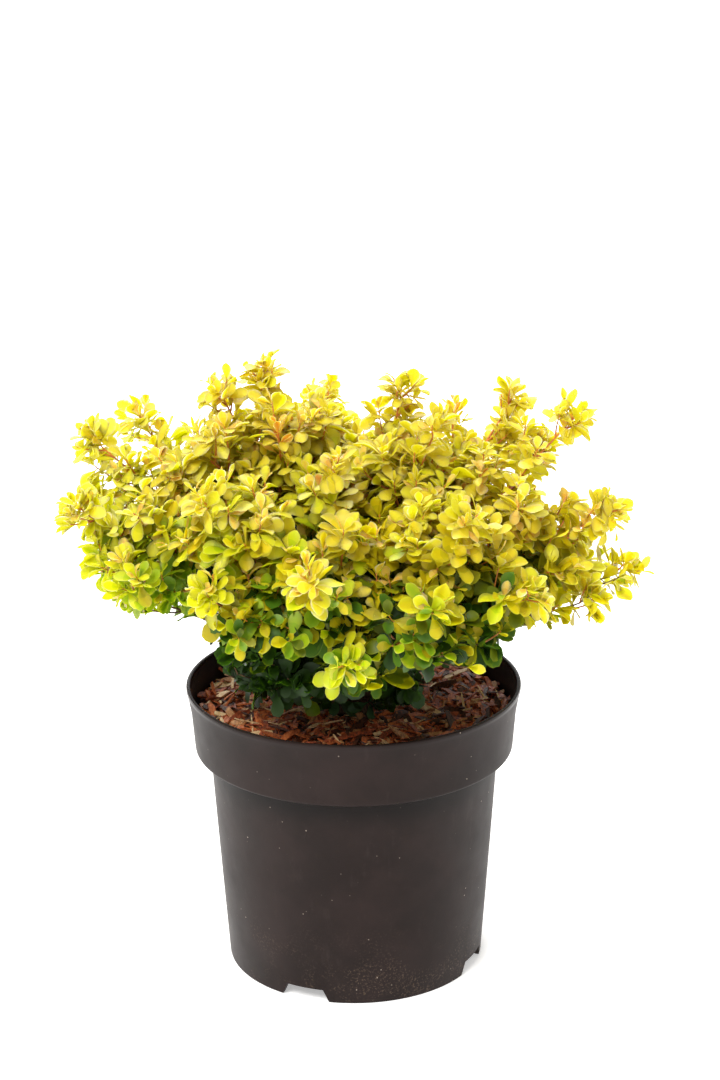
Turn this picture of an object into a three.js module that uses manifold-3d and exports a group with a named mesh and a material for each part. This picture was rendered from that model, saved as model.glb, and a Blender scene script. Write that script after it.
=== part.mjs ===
// A young Japanese barberry in a four-litre nursery pot.
// Millimetres, +Z up. The origin is on the floor at the pot's axis, and the plant's front looks along -Y.
// All canes spread from one point inside the stump, the heart. Each mass of foliage owns the cone of
// directions that lies nearest its own leader, so no two masses, and no bough and mass, ever meet.
import * as THREE from "three";
import { mergeVertices } from "three/addons/utils/BufferGeometryUtils.js";
import Module from "manifold-3d";

// The pot
const POT_HEIGHT = 175;
const RIM_RADIUS = 100; // outer radius of the lip, at the top
const COLLAR_TOP_RADIUS = 97.3; // outer radius just under the lip
const COLLAR_TOP_Z = 159;
const COLLAR_FOOT_RADIUS = 95.4;
const COLLAR_FOOT_Z = 136.5;
const BODY_TOP_RADIUS = 86.3; // where the step under the collar meets the body
const BODY_TOP_Z = 131;
const FOOT_RADIUS = 77.2;
const WALL = 1.9;
const FOOT_RING_WIDTH = 3.4; // the pot stands on this ring
const BASE_LIFT = 9; // the base's underside is this far above the floor
const BASE_THICKNESS = 2.2;
const NOTCHES = 4; // water gaps through the foot ring
const NOTCH_BOTTOM_WIDTH = 30;
const NOTCH_TOP_WIDTH = 23;
const NOTCH_HEIGHT = 8;
const FIRST_NOTCH = -23; // degrees from the front
const DRAIN_HOLES = 6;
const DRAIN_RADIUS = 5;
const DRAIN_CIRCLE = 58;
const ROUND_SIDES = 36; // sides of everything turned about the pot's axis

// Soil and stump
const GAP = 0.3; // clearance between neighbouring solids
const SMALLEST_EDGE = 0.02; // shorter edges of a fused mass are closed up
const SOIL_Z = 157;
const SOIL_BUMP = 2.2;
const SOIL_FLAT_RADIUS = 22; // level round the stump's foot
const STUMP_FOOT_RADIUS = 16;
const STUMP_RADIUS = 11.5;
const STUMP_HEIGHT = 31;
const STUMP_LEAN = 0.05; // sideways shift for each millimetre of height
const STUMP_SIDES = 14;
const ROOT_FLARES = 5;

// Canes, side shoots and leaves
const HEART = new THREE.Vector3(0, 0, 172);
const BOUGH_SHARE = 0.45; // of a leader's length that is bare bough
const BOUGH_MAX_RADIUS = 2.7;
const BOUGH_MIN_RADIUS = 1.2;
const BOUGH_SIDES = 5;
const BOUGH_STEPS = 3;
const BOUGH_TAPER = 0.7; // tip radius over root radius
const CANE_START = 0.05; // share of a leader's length at which its wood starts, inside the stump
const CANE_RISE = 5; // degrees by which a cane starts out steeper than it ends
const SHOOTS = 5; // side shoots of a mass
const SHOOT_REACH = 0.7; // least share of the leader's length at which a side shoot ends
const SHOOT_REACH_RANGE = 0.2;
const SHOOT_SPREAD = 25; // degrees from the leader to the outermost shoot's tip
const BRANCH_ANGLE = 38; // degrees between a side shoot and its leader
const SPREAD_TRIALS = 5; // a shoot without room is tried again nearer its leader, this many times in all
const SPREAD_SHRINK = 0.78;
const SMALLEST_SPREAD = 4; // degrees
const FIRST_JOINT = 0.06; // shoots leave the leader this share of its length past the bough, or later
const LAST_JOINT = 0.94;
const SHOOT_BEND = 0.16; // how far a shoot bows out, as a share of its reach across the leader
const SHOOT_ROOM = 5; // a shoot's tip stays this far inside its own cone
const LEADER_BARE = 0.12; // share of a leader's length past the bough that carries no leaves
const SHOOT_BARE = 10;
const LEAF_LENGTH = 29;
const LEAF_WIDTH = 18;
const LEAF_THICKNESS = 0.8;
const SOIL_ROOM = 3.5; // foliage over the soil stays this far above it
const SKIRT_RADIUS = 88; // from here outwards the crown's underside is clear of the pot's lip
const SKIRT_Z = 200;
const SKIRT_SLOPE = 0.25;
const SKIRT_CURL_RADIUS = 130; // further out it curls up
const SKIRT_CURL = 0.012;
const LEAF_LIFT = 0.5; // how far the blades turn their faces up
const LEAF_ROLL = 1.8; // radians, the range of a blade's roll about its own length
const LEAF_ROOM = 0.2;
const LEAF_TAIL = 20; // a leader's wood ends this far short of its mass's reach
const TURN_JITTER = 0.5; // radians, of a leaf round its shoot
const TIP_LEAVES = 3; // close together at a shoot's tip
const TIP_LEAF_STEP = 4;
const LEAF_STEP = 5.3; // along a shoot, between the leaves below
const LEADER_RADIUS = 2.4;
const TWIG_RADIUS = 1.1;
const TWIG_TIP_RADIUS = 1;
const GOLDEN_ANGLE = Math.PI * (3 - Math.sqrt(5));
const FIRST_SEED = 1009; // of the first mass's shoots
const SEED_STEP = 131; // from one mass to the next
const LEAF_SEED = 7001; // from a mass's shoots to its leaves

// Each mass of foliage: azimuth in degrees from the front, positive to the right; elevation in degrees and
// reach in millimetres, both from the heart; and whether it has a bough or its stem starts at the stump.
const MASSES = [
  { name: "far_left", azimuth: -74, elevation: 38, reach: 218, bough: true },
  { name: "left_up", azimuth: -94, elevation: 45, reach: 226, bough: true },
  { name: "left_top", azimuth: -111, elevation: 48, reach: 216, bough: true },
  { name: "left_low", azimuth: -85, elevation: 26, reach: 158, bough: true },
  { name: "top_left", azimuth: -104, elevation: 66, reach: 206, bough: true },
  { name: "top", azimuth: -132, elevation: 69, reach: 206, bough: true },
  { name: "mid_top", azimuth: -170, elevation: 57, reach: 194, bough: true },
  { name: "centre_top", azimuth: 137, elevation: 76, reach: 192, bough: true },
  { name: "right_top", azimuth: 123, elevation: 54, reach: 210, bough: true },
  { name: "right_high", azimuth: 91, elevation: 52, reach: 222, bough: true },
  { name: "crown_right", azimuth: 74, elevation: 73, reach: 184, bough: true },
  { name: "right", azimuth: 74, elevation: 39, reach: 207, bough: true },
  { name: "far_right", azimuth: 98, elevation: 21, reach: 191, bough: true },
  { name: "right_low", azimuth: 71, elevation: 26, reach: 172, bough: true },
  { name: "front_left_high", azimuth: -46, elevation: 51, reach: 194, bough: true },
  { name: "front_left", azimuth: -37, elevation: 37, reach: 176, bough: true },
  { name: "front_left_low", azimuth: -41, elevation: 25, reach: 124, bough: false },
  { name: "front", azimuth: -10, elevation: 40, reach: 186, bough: true },
  { name: "front_low", azimuth: -1, elevation: 26, reach: 156, bough: false },
  { name: "front_right_high", azimuth: 35, elevation: 49, reach: 187, bough: true },
  { name: "front_right", azimuth: 18, elevation: 35, reach: 180, bough: true },
  { name: "right_front", azimuth: 44, elevation: 33, reach: 183, bough: true },
  { name: "right_front_low", azimuth: 42, elevation: 16, reach: 118, bough: false },
  { name: "crown", azimuth: -14, elevation: 72, reach: 170, bough: true },
  { name: "back_left_low", azimuth: -116, elevation: 27, reach: 168, bough: true },
  { name: "back_left", azimuth: -146, elevation: 38, reach: 172, bough: true },
  { name: "back", azimuth: -177, elevation: 31, reach: 164, bough: true },
  { name: "back_right", azimuth: 150, elevation: 35, reach: 170, bough: true },
  { name: "back_right_low", azimuth: 123, elevation: 24, reach: 164, bough: true },
];

const wasm = await Module();
wasm.setup();

const FINISH = {
  pot: new THREE.MeshStandardMaterial({ color: 0x40363a, roughness: 0.55, metalness: 0 }),
  soil: new THREE.MeshStandardMaterial({ color: 0x5a3a28, roughness: 0.95, metalness: 0 }),
  bark: new THREE.MeshStandardMaterial({ color: 0x6b5238, roughness: 0.85, metalness: 0 }),
  leaf: new THREE.MeshStandardMaterial({ color: 0xb9c02e, roughness: 0.5, metalness: 0 }),
};

const radians = THREE.MathUtils.degToRad;

function seeded(seed) {
  let state = seed;
  return () => {
    state = (state * 48271) % 2147483647;
    return state / 2147483647;
  };
}

// A closed geometry as a solid.
function solid(geometry) {
  const bare = geometry.clone();
  bare.deleteAttribute("normal");
  bare.deleteAttribute("uv");
  const merged = mergeVertices(bare, 1e-3);
  return new wasm.Manifold(
    new wasm.Mesh({
      numProp: 3,
      vertProperties: merged.attributes.position.array,
      triVerts: new Uint32Array(merged.index.array),
    }),
  );
}

// The largest body of a solid: loose scraps go, and a sealed hollow is filled.
function mainBody(made) {
  const bodies = made.decompose();
  return bodies.reduce((best, body) => (body.volume() > best.volume() ? body : best));
}

// Whether each edge of a solid still joins just two faces when its spots are rounded.
function roundsWell(made) {
  const data = made.getMesh();
  const keys = [];
  for (let i = 0; i < data.vertProperties.length; i += 3) {
    keys.push(Array.from(data.vertProperties.subarray(i, i + 3), (v) => v.toFixed(3)).join());
  }
  const uses = new Map();
  for (let i = 0; i < data.triVerts.length; i += 3) {
    const corners = [...data.triVerts.subarray(i, i + 3)].map((index) => keys[index]);
    corners.forEach((from, k) => {
      const edge = [from, corners[(k + 1) % 3]].sort().join(" ");
      uses.set(edge, (uses.get(edge) ?? 0) + 1);
    });
  }
  return [...uses.values()].every((count) => count === 2);
}

// Fuses pieces one by one, and leaves out any that would make a join too fine to round.
function fused(pieces) {
  return pieces.reduce((made, piece) => {
    const more = made.add(piece).simplify(SMALLEST_EDGE);
    return roundsWell(more) ? more : made;
  });
}

// A named mesh of a solid.
function meshOf(name, made, finish) {
  const data = made.getMesh();
  const geometry = new THREE.BufferGeometry();
  geometry.setAttribute("position", new THREE.BufferAttribute(data.vertProperties, 3));
  geometry.setIndex(new THREE.BufferAttribute(data.triVerts, 1));
  geometry.computeVertexNormals();
  const mesh = new THREE.Mesh(geometry, finish);
  mesh.name = name;
  return mesh;
}

// Turns a profile of [radius, z] points about the Z axis.
function turned(profile, sides) {
  const points = profile.map(([radius, z]) => new THREE.Vector2(radius, z));
  return new THREE.LatheGeometry(points, sides).rotateX(Math.PI / 2);
}

// The outside of the pot's wall from the foot to the lip.
function outerWall() {
  return [
    [FOOT_RADIUS, 0],
    [BODY_TOP_RADIUS, BODY_TOP_Z],
    [COLLAR_FOOT_RADIUS - 1.8, COLLAR_FOOT_Z - 1.5],
    [COLLAR_FOOT_RADIUS - 0.5, COLLAR_FOOT_Z - 1],
    [COLLAR_FOOT_RADIUS, COLLAR_FOOT_Z + 0.5],
    [COLLAR_TOP_RADIUS, COLLAR_TOP_Z],
    [RIM_RADIUS - 0.6, POT_HEIGHT - 6],
    [RIM_RADIUS, POT_HEIGHT - 2],
    [RIM_RADIUS - 0.8, POT_HEIGHT],
  ];
}

// The inside of the wall, from the base's top to just under the lip.
function innerWall() {
  const lift = BASE_LIFT + BASE_THICKNESS;
  const slope = (BODY_TOP_RADIUS - FOOT_RADIUS) / BODY_TOP_Z;
  return [
    [FOOT_RADIUS + slope * lift - WALL, lift],
    [BODY_TOP_RADIUS - WALL, BODY_TOP_Z + 1],
    [COLLAR_FOOT_RADIUS - WALL, COLLAR_FOOT_Z + 1],
    [COLLAR_TOP_RADIUS - WALL, COLLAR_TOP_Z],
  ];
}

function pot() {
  const ringInside = FOOT_RADIUS - FOOT_RING_WIDTH;
  const profile = [
    [0, BASE_LIFT],
    [ringInside, BASE_LIFT],
    [ringInside, 0],
    ...outerWall(),
    [RIM_RADIUS - WALL - 0.6, POT_HEIGHT - 0.8],
    ...innerWall().reverse(),
    [0, BASE_LIFT + BASE_THICKNESS],
  ];
  let made = solid(turned(profile, ROUND_SIDES));
  for (let i = 0; i < NOTCHES; i++) {
    made = made.subtract(solid(notch(radians(FIRST_NOTCH + (i * 360) / NOTCHES))));
  }
  for (let i = 0; i < DRAIN_HOLES; i++) {
    made = made.subtract(solid(drainHole((2 * Math.PI * (i + 0.5)) / DRAIN_HOLES)));
  }
  return meshOf("pot", made, FINISH.pot);
}

// A wedge-sided bar that cuts one water gap through the foot ring.
function notch(angle) {
  const outline = new THREE.Shape([
    new THREE.Vector2(-NOTCH_BOTTOM_WIDTH / 2 - 1, -2),
    new THREE.Vector2(NOTCH_BOTTOM_WIDTH / 2 + 1, -2),
    new THREE.Vector2(NOTCH_TOP_WIDTH / 2, NOTCH_HEIGHT),
    new THREE.Vector2(-NOTCH_TOP_WIDTH / 2, NOTCH_HEIGHT),
  ]);
  return new THREE.ExtrudeGeometry(outline, { depth: 24, bevelEnabled: false })
    .rotateX(Math.PI / 2)
    .translate(0, -FOOT_RADIUS + 14, 0)
    .rotateZ(angle);
}

function drainHole(angle) {
  return new THREE.CylinderGeometry(DRAIN_RADIUS, DRAIN_RADIUS, 3 * BASE_THICKNESS, 8)
    .rotateX(Math.PI / 2)
    .translate(DRAIN_CIRCLE, 0, BASE_LIFT + BASE_THICKNESS / 2)
    .rotateZ(angle);
}

// The soil's height above SOIL_Z: low swells that die out at the stump and at the wall.
function soilSwell(x, y, radius, edge) {
  const swell = Math.sin(x / 9 + 1.3) * Math.cos(y / 11) + 0.7 * Math.sin((x - y) / 6);
  const inner = THREE.MathUtils.smoothstep(radius, SOIL_FLAT_RADIUS, SOIL_FLAT_RADIUS + 14);
  const outer = 1 - THREE.MathUtils.smoothstep(radius, edge - 12, edge);
  return (SOIL_BUMP / 1.7) * swell * inner * outer;
}

function soil() {
  const side = innerWall()
    .slice(0, -1)
    .map(([radius, z]) => [radius - GAP, z + GAP]);
  const grow = (COLLAR_TOP_RADIUS - COLLAR_FOOT_RADIUS) / (COLLAR_TOP_Z - COLLAR_FOOT_Z);
  const edge = COLLAR_FOOT_RADIUS - WALL - GAP + grow * (SOIL_Z - COLLAR_FOOT_Z);
  const rings = [edge, 82, 68, 53, 38, SOIL_FLAT_RADIUS];
  const profile = [[0, side[0][1]], ...side, ...rings.map((radius) => [radius, SOIL_Z]), [0, SOIL_Z]];
  const geometry = turned(profile, ROUND_SIDES);
  const spots = geometry.attributes.position;
  for (let i = 0; i < spots.count; i++) {
    if (Math.abs(spots.getZ(i) - SOIL_Z) < 0.01) {
      const x = spots.getX(i);
      const y = spots.getY(i);
      spots.setZ(i, SOIL_Z + soilSwell(x, y, Math.hypot(x, y), edge));
    }
  }
  return meshOf("soil", solid(geometry), FINISH.soil);
}

// The stump, from a flat foot on the soil to a rounded top, with root flares, made bigger by grown.
function stump(grown = 0) {
  const foot = SOIL_Z + GAP;
  const outline = [
    [STUMP_RADIUS + 1.6, 4.5],
    [STUMP_RADIUS, 11],
    [STUMP_RADIUS, 21],
    [STUMP_RADIUS * 0.72, 27.5],
    [STUMP_RADIUS * 0.3, STUMP_HEIGHT],
  ];
  const profile = [
    [0, foot - grown],
    [STUMP_FOOT_RADIUS + grown, foot - grown],
    ...outline.map(([radius, height]) => [radius + grown, foot + height + grown]),
    [0, foot + STUMP_HEIGHT + 0.6 + grown],
  ];
  const geometry = turned(profile, STUMP_SIDES);
  const spots = geometry.attributes.position;
  for (let i = 0; i < spots.count; i++) {
    const x = spots.getX(i);
    const y = spots.getY(i);
    const rise = Math.max(0, spots.getZ(i) - foot);
    const flare = 1 + 0.12 * Math.cos(ROOT_FLARES * Math.atan2(y, x)) * Math.max(0, 1 - rise / 11);
    spots.setX(i, x * flare + STUMP_LEAN * (rise - STUMP_HEIGHT / 2));
    spots.setY(i, y * flare);
  }
  return geometry;
}

// The unit vector of an azimuth and an elevation in degrees.
function heading(azimuth, elevation) {
  const level = Math.cos(radians(elevation));
  return new THREE.Vector3(
    Math.sin(radians(azimuth)) * level,
    -Math.cos(radians(azimuth)) * level,
    Math.sin(radians(elevation)),
  );
}

// How far a point lies inside a mass's own cone, from the nearest of the planes that halve the angle
// between its direction and every other one.
function roomIn(mass, point) {
  const offset = point.clone().sub(HEART);
  let room = Infinity;
  for (const other of MASSES) {
    if (other !== mass) {
      const across = mass.direction.clone().sub(other.direction).normalize();
      room = Math.min(room, offset.dot(across));
    }
  }
  return room;
}

// Whether a point is above the crown's underside: over the soil foliage hangs down nearly to it, and
// beyond the pot the underside rises outwards.
function aboveUnderside(point) {
  const radius = Math.hypot(point.x, point.y);
  if (radius < SKIRT_RADIUS) {
    return point.z > SOIL_Z + SOIL_ROOM;
  }
  const curl = Math.max(0, radius - SKIRT_CURL_RADIUS);
  return point.z > SKIRT_Z + SKIRT_SLOPE * (radius - SKIRT_RADIUS) + SKIRT_CURL * curl * curl;
}

// The curve of a mass's leader, from the heart to the end of its wood.
function leaderCurve(mass) {
  const length = mass.reach - LEAF_TAIL;
  const early = heading(mass.azimuth, mass.elevation + CANE_RISE);
  return new THREE.QuadraticBezierCurve3(
    HEART.clone(),
    HEART.clone().addScaledVector(early, length / 2),
    HEART.clone().addScaledVector(mass.direction, length),
  );
}

// The directions across a curve at a place on it: level, and square to that.
function frameAt(curve, at) {
  const level = new THREE.Vector3(0, 0, 1).cross(curve.getTangentAt(0.5)).normalize();
  const tangent = curve.getTangentAt(at);
  return { level, tangent, over: level.clone().cross(tangent).normalize() };
}

// A few-sided limb along a stretch of a curve, tapering from one radius to another.
function limb(curve, from, to, radius, tipRadius, sides, steps) {
  const geometry = new THREE.CylinderGeometry(tipRadius, radius, 1, sides, steps);
  const spots = geometry.attributes.position;
  for (let i = 0; i < spots.count; i++) {
    const at = from + (to - from) * (spots.getY(i) + 0.5);
    const { level, over } = frameAt(curve, at);
    const place = curve.getPointAt(at);
    place.addScaledVector(level, spots.getX(i)).addScaledVector(over, spots.getZ(i));
    spots.setXYZ(i, place.x, place.y, place.z);
  }
  return geometry;
}

// One leaf: a thin blade of eight faces, widest beyond its middle, rooted at a point of a twig.
function leaf(root, along, facing, length) {
  const geometry = new THREE.OctahedronGeometry(1);
  const spots = geometry.attributes.position;
  const side = along.clone().cross(facing).normalize();
  const up = side.clone().cross(along).normalize();
  for (let i = 0; i < spots.count; i++) {
    const y = spots.getY(i);
    const lengthwise = (y + 1) / 2 + 0.1 * (1 - Math.abs(y));
    const place = root
      .clone()
      .addScaledVector(along, lengthwise * length)
      .addScaledVector(side, (spots.getX(i) * LEAF_WIDTH * length) / LEAF_LENGTH / 2)
      .addScaledVector(up, (spots.getZ(i) * LEAF_THICKNESS) / 2);
    spots.setXYZ(i, place.x, place.y, place.z);
  }
  return geometry;
}

function everySpot(geometry, test) {
  const spots = geometry.attributes.position;
  const point = new THREE.Vector3();
  for (let i = 0; i < spots.count; i++) {
    if (!test(point.fromBufferAttribute(spots, i))) {
      return false;
    }
  }
  return true;
}

// The side shoots of a mass fan out from its leader like a sunflower's seeds, each turned less where its
// tip would come too near the edge of the cone.
function sideShoots(mass, leader, random) {
  const shoots = [];
  const length = mass.reach - LEAF_TAIL;
  const level = new THREE.Vector3(0, 0, 1).cross(mass.direction).normalize();
  const phase = random() * 2 * Math.PI;
  for (let k = 0; k < SHOOTS; k++) {
    const turn = k * GOLDEN_ANGLE + phase;
    const far = length * (SHOOT_REACH + SHOOT_REACH_RANGE * random());
    const axis = level.clone().applyAxisAngle(mass.direction, turn);
    let spread = radians(SHOOT_SPREAD) * Math.sqrt((k + 0.7) / SHOOTS);
    for (let trial = 0; trial < SPREAD_TRIALS; trial++) {
      const tip = HEART.clone().addScaledVector(mass.direction.clone().applyAxisAngle(axis, spread), far);
      if (roomIn(mass, tip) > SHOOT_ROOM && aboveUnderside(tip) && spread > radians(SMALLEST_SPREAD)) {
        const back = Math.cos(spread) - Math.sin(spread) / Math.tan(radians(BRANCH_ANGLE));
        const joint = Math.max(BOUGH_SHARE + FIRST_JOINT, (far * back) / length);
        const start = leader.getPointAt(Math.min(joint, LAST_JOINT));
        const middle = start.clone().lerp(tip, 0.5);
        middle.addScaledVector(tip.clone().sub(start).projectOnPlane(mass.direction), SHOOT_BEND);
        shoots.push(new THREE.QuadraticBezierCurve3(start, middle, tip));
        break;
      }
      spread *= SPREAD_SHRINK;
    }
  }
  return shoots;
}

// Leaves along a shoot from its tip down to a bare length, on its three sides in turn: the first ones
// nearly in line with the shoot, the rest standing well off it.
function leavesAlong(curve, bareLength, random) {
  const leaves = [];
  const length = curve.getLength();
  let down = 0;
  for (let n = 0; length - down > bareLength; n++) {
    const at = 1 - (down + 1) / length;
    const { level, tangent, over } = frameAt(curve, at);
    const turn = Math.PI / 3 + (2 * Math.PI * n) / 3 + TURN_JITTER * (random() - 0.5);
    const tilt = radians((n < TIP_LEAVES ? 16 + 14 * n : 54) + 12 * random());
    const out = over.clone().multiplyScalar(Math.cos(turn)).addScaledVector(level, Math.sin(turn));
    const along = tangent.clone().multiplyScalar(Math.cos(tilt)).addScaledVector(out, Math.sin(tilt));
    const facing = tangent.clone().addScaledVector(along, -tangent.dot(along)).normalize();
    facing.applyAxisAngle(along, LEAF_ROLL * (random() - 0.5));
    facing.z += LEAF_LIFT;
    leaves.push(leaf(curve.getPointAt(at), along, facing, LEAF_LENGTH * (0.84 + 0.3 * random())));
    down += n < TIP_LEAVES - 1 ? TIP_LEAF_STEP : LEAF_STEP;
  }
  return leaves;
}

// The half angle, in radians, to the direction of the nearest other mass.
function halfAngle(mass) {
  const others = MASSES.filter((other) => other !== mass);
  return Math.min(...others.map((other) => mass.direction.angleTo(other.direction))) / 2;
}

// A bough's radius where it leaves the stump: as thick as its neighbours allow.
function boughRadius(mass) {
  const free = (STUMP_RADIUS + 4) * Math.sin(halfAngle(mass)) - GAP;
  return THREE.MathUtils.clamp(free, BOUGH_MIN_RADIUS, BOUGH_MAX_RADIUS);
}

function bough(mass, around) {
  const radius = boughRadius(mass);
  const tipRadius = BOUGH_TAPER * radius;
  const length = leaderCurve(mass).getLength();
  const to = BOUGH_SHARE - GAP / length;
  const shaft = limb(leaderCurve(mass), CANE_START, to, radius, tipRadius, BOUGH_SIDES, BOUGH_STEPS);
  return meshOf("bough_" + mass.name, mainBody(solid(shaft).subtract(around)), FINISH.bark);
}

// A mass: its leader's outer stretch, side shoots and leaves, fused. What would leave the cone is left out,
// and so is a leaf that would touch another.
function foliage(mass, around, seed) {
  const random = seeded(seed + LEAF_SEED);
  const leader = leaderCurve(mass);
  const inside = (point) => roomIn(mass, point) > LEAF_ROOM && aboveUnderside(point);
  const from = mass.bough ? BOUGH_SHARE : CANE_START;
  const wood = [solid(limb(leader, from, 1, LEADER_RADIUS, TWIG_TIP_RADIUS, 3, 3)).simplify()];
  const blades = leavesAlong(leader, leader.getLength() * (BOUGH_SHARE + LEADER_BARE), random);
  for (const shoot of sideShoots(mass, leader, seeded(seed))) {
    const twig = limb(shoot, 0, 1, TWIG_RADIUS, TWIG_TIP_RADIUS, 3, 2);
    if (everySpot(twig, inside)) {
      wood.push(solid(twig).simplify());
      blades.push(...leavesAlong(shoot, SHOOT_BARE, random));
    }
  }
  const leaves = [];
  for (const blade of blades.filter((one) => everySpot(one, inside)).map(solid)) {
    if (leaves.every((other) => other.minGap(blade, 1) > GAP)) {
      leaves.push(blade);
    }
  }
  const made = fused([...wood, ...leaves]);
  const cut = mass.bough ? made : made.subtract(around);
  return meshOf("foliage_" + mass.name, mainBody(cut), FINISH.leaf);
}

const plant = new THREE.Group();
plant.add(pot(), soil(), meshOf("stem", solid(stump()), FINISH.bark));
for (const mass of MASSES) {
  mass.direction = heading(mass.azimuth, mass.elevation);
}
const aroundStump = solid(stump(GAP));
MASSES.forEach((mass, index) => {
  if (mass.bough) {
    plant.add(bough(mass, aroundStump));
  }
  plant.add(foliage(mass, aroundStump, FIRST_SEED + SEED_STEP * index));
});

export default plant;
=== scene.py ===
"""A young Japanese barberry in a nursery pot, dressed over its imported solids.

Lengths are in millimetres until a mesh is made, and in metres from there on. The plant's front looks
along -Y. The canes, side shoots and cones of directions follow the rule of the part's source; finer
twigs and leaves carry it further within the same reach.
"""
import math

import bpy
import numpy as np
from mathutils import Matrix, Vector, noise


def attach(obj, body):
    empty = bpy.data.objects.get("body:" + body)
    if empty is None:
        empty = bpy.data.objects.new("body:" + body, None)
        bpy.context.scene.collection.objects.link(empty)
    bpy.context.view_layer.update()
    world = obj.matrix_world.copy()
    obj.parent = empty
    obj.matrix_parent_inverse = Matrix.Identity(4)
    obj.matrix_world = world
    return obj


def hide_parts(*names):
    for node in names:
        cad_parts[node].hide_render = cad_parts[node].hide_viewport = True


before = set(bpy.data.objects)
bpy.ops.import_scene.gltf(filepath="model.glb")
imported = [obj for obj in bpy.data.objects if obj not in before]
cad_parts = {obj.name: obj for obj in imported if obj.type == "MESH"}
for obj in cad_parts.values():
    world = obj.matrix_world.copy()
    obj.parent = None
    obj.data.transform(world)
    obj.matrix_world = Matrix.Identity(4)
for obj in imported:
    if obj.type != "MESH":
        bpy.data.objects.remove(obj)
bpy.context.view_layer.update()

MM = 0.001
UP = np.array([0.0, 0.0, 1.0])
GOLDEN_ANGLE = math.pi * (3 - math.sqrt(5))

# The pot, as in the part's source
POT_HEIGHT = 175
RIM_RADIUS = 100
COLLAR_TOP_RADIUS = 97.3
COLLAR_TOP_Z = 159
COLLAR_FOOT_RADIUS = 95.4
COLLAR_FOOT_Z = 136.5
BODY_TOP_RADIUS = 86.3
BODY_TOP_Z = 131
FOOT_RADIUS = 77.2
WALL = 1.9
FOOT_RING_WIDTH = 3.4
BASE_LIFT = 9
BASE_THICKNESS = 2.2
NOTCHES = 4
NOTCH_BOTTOM_WIDTH = 30
NOTCH_TOP_WIDTH = 23
NOTCH_HEIGHT = 8
CUTTER_REACH = 12  # the notches' cutter goes this far in and out from the foot
CUTTER_BELOW = 2
FIRST_NOTCH = -23
DRAIN_HOLES = 6
DRAIN_RADIUS = 5
DRAIN_CIRCLE = 58
BASE_CENTRE = 18  # the base is one flat face within this radius
POT_SIDES = 128

# Soil and stump
GAP = 0.3
SOIL_Z = 157
SOIL_SIDES = 192
SOIL_RINGS = 52
SOIL_CENTRE = 12  # the top's innermost ring
SOIL_FOOT = 14
STUMP_FOOT_RADIUS = 16
STUMP_RADIUS = 11.5
STUMP_HEIGHT = 31
STUMP_LEAN = 0.05
ROOT_FLARES = 5
ROOT_FLARE = 0.16
STUMP_RIDGES = 0.1
STUMP_SIDES = 30

# Canes and side shoots, as in the part's source
HEART = np.array([0.0, 0.0, 172.0])
BOUGH_SHARE = 0.45
BOUGH_MAX_RADIUS = 2.7
BOUGH_MIN_RADIUS = 1.2
CANE_RISE = 5
SHOOTS = 5
SHOOT_REACH = 0.7
SHOOT_REACH_RANGE = 0.2
SHOOT_SPREAD = 25
SPREAD_START = 0.7
BRANCH_ANGLE = 38
SPREAD_TRIALS = 5
SPREAD_SHRINK = 0.78
SMALLEST_SPREAD = 4
FIRST_JOINT = 0.06
LAST_JOINT = 0.94
SHOOT_BEND = 0.16
SHOOT_ROOM = 5
SOIL_ROOM = 3.5
SKIRT_RADIUS = 88
SKIRT_Z = 200
LEAF_SKIRT_Z = 203
SKIRT_SLOPE = 0.25
SKIRT_CURL_RADIUS = 130
SKIRT_CURL = 0.012
LEAF_ROOM = 4  # leaves stay this far above the soil round the stump
LIP_ROOM = 17  # and this much further by the wall
SIDE_RISE = 13  # the leaves' underside is this much higher at the crown's sides than in front and behind
LEAF_CURL = 0.005
SIDE_LEAN = 0.12  # far out it is higher on the left than on the right
LEAF_TAIL = 20
FIRST_SEED = 1009
SEED_STEP = 131

# Each mass: name, azimuth and elevation in degrees, reach in millimetres from the heart, whether the
# solids give it a bough, how much sunnier or shadier its leaves are than their place tells (painted
# light and shade in their tints), and how fast its reach falls off away from its leader, so that sky
# shows between the tips.
MASSES = [
    ("far_left", -74, 38, 218, True, 0.04, 0.55),
    ("left_up", -94, 45, 226, True, 0.12, 1.10),
    ("left_top", -111, 48, 216, True, 0.10, 0.90),
    ("left_low", -85, 26, 158, True, -0.18, 0.55),
    ("top_left", -104, 66, 206, True, 0.20, 0.70),
    ("top", -132, 69, 206, True, 0.10, 0.90),
    ("mid_top", -170, 57, 194, True, 0.18, 1.10),
    ("centre_top", 137, 76, 192, True, 0.20, 1.00),
    ("right_top", 123, 54, 210, True, 0.10, 1.50),
    ("right_high", 91, 52, 222, True, 0.08, 1.30),
    ("crown_right", 74, 73, 184, True, 0.08, 1.10),
    ("right", 74, 39, 207, True, 0.06, 0.55),
    ("far_right", 98, 21, 191, True, 0.20, 0.55),
    ("right_low", 71, 26, 172, True, 0.04, 0.55),
    ("front_left_high", -46, 51, 194, True, -0.04, 0.55),
    ("front_left", -37, 37, 176, True, 0.16, 0.55),
    ("front_left_low", -41, 25, 124, False, -0.50, 0.55),
    ("front", -10, 40, 186, True, 0.16, 0.90),
    ("front_low", -1, 26, 156, False, 0.30, 0.90),
    ("front_right_high", 35, 49, 187, True, -0.06, 0.90),
    ("front_right", 18, 35, 180, True, 0.12, 0.90),
    ("right_front", 44, 33, 183, True, 0.08, 0.55),
    ("right_front_low", 42, 16, 118, False, -0.50, 0.55),
    ("crown", -14, 72, 170, True, -0.08, 0.90),
    ("back_left_low", -116, 27, 168, True, 0.00, 0.55),
    ("back_left", -146, 38, 172, True, 0.04, 0.90),
    ("back", -177, 31, 164, True, -0.10, 0.90),
    ("back_right", 150, 35, 170, True, 0.04, 0.90),
    ("back_right_low", 123, 24, 164, True, 0.05, 0.55),
]
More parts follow.
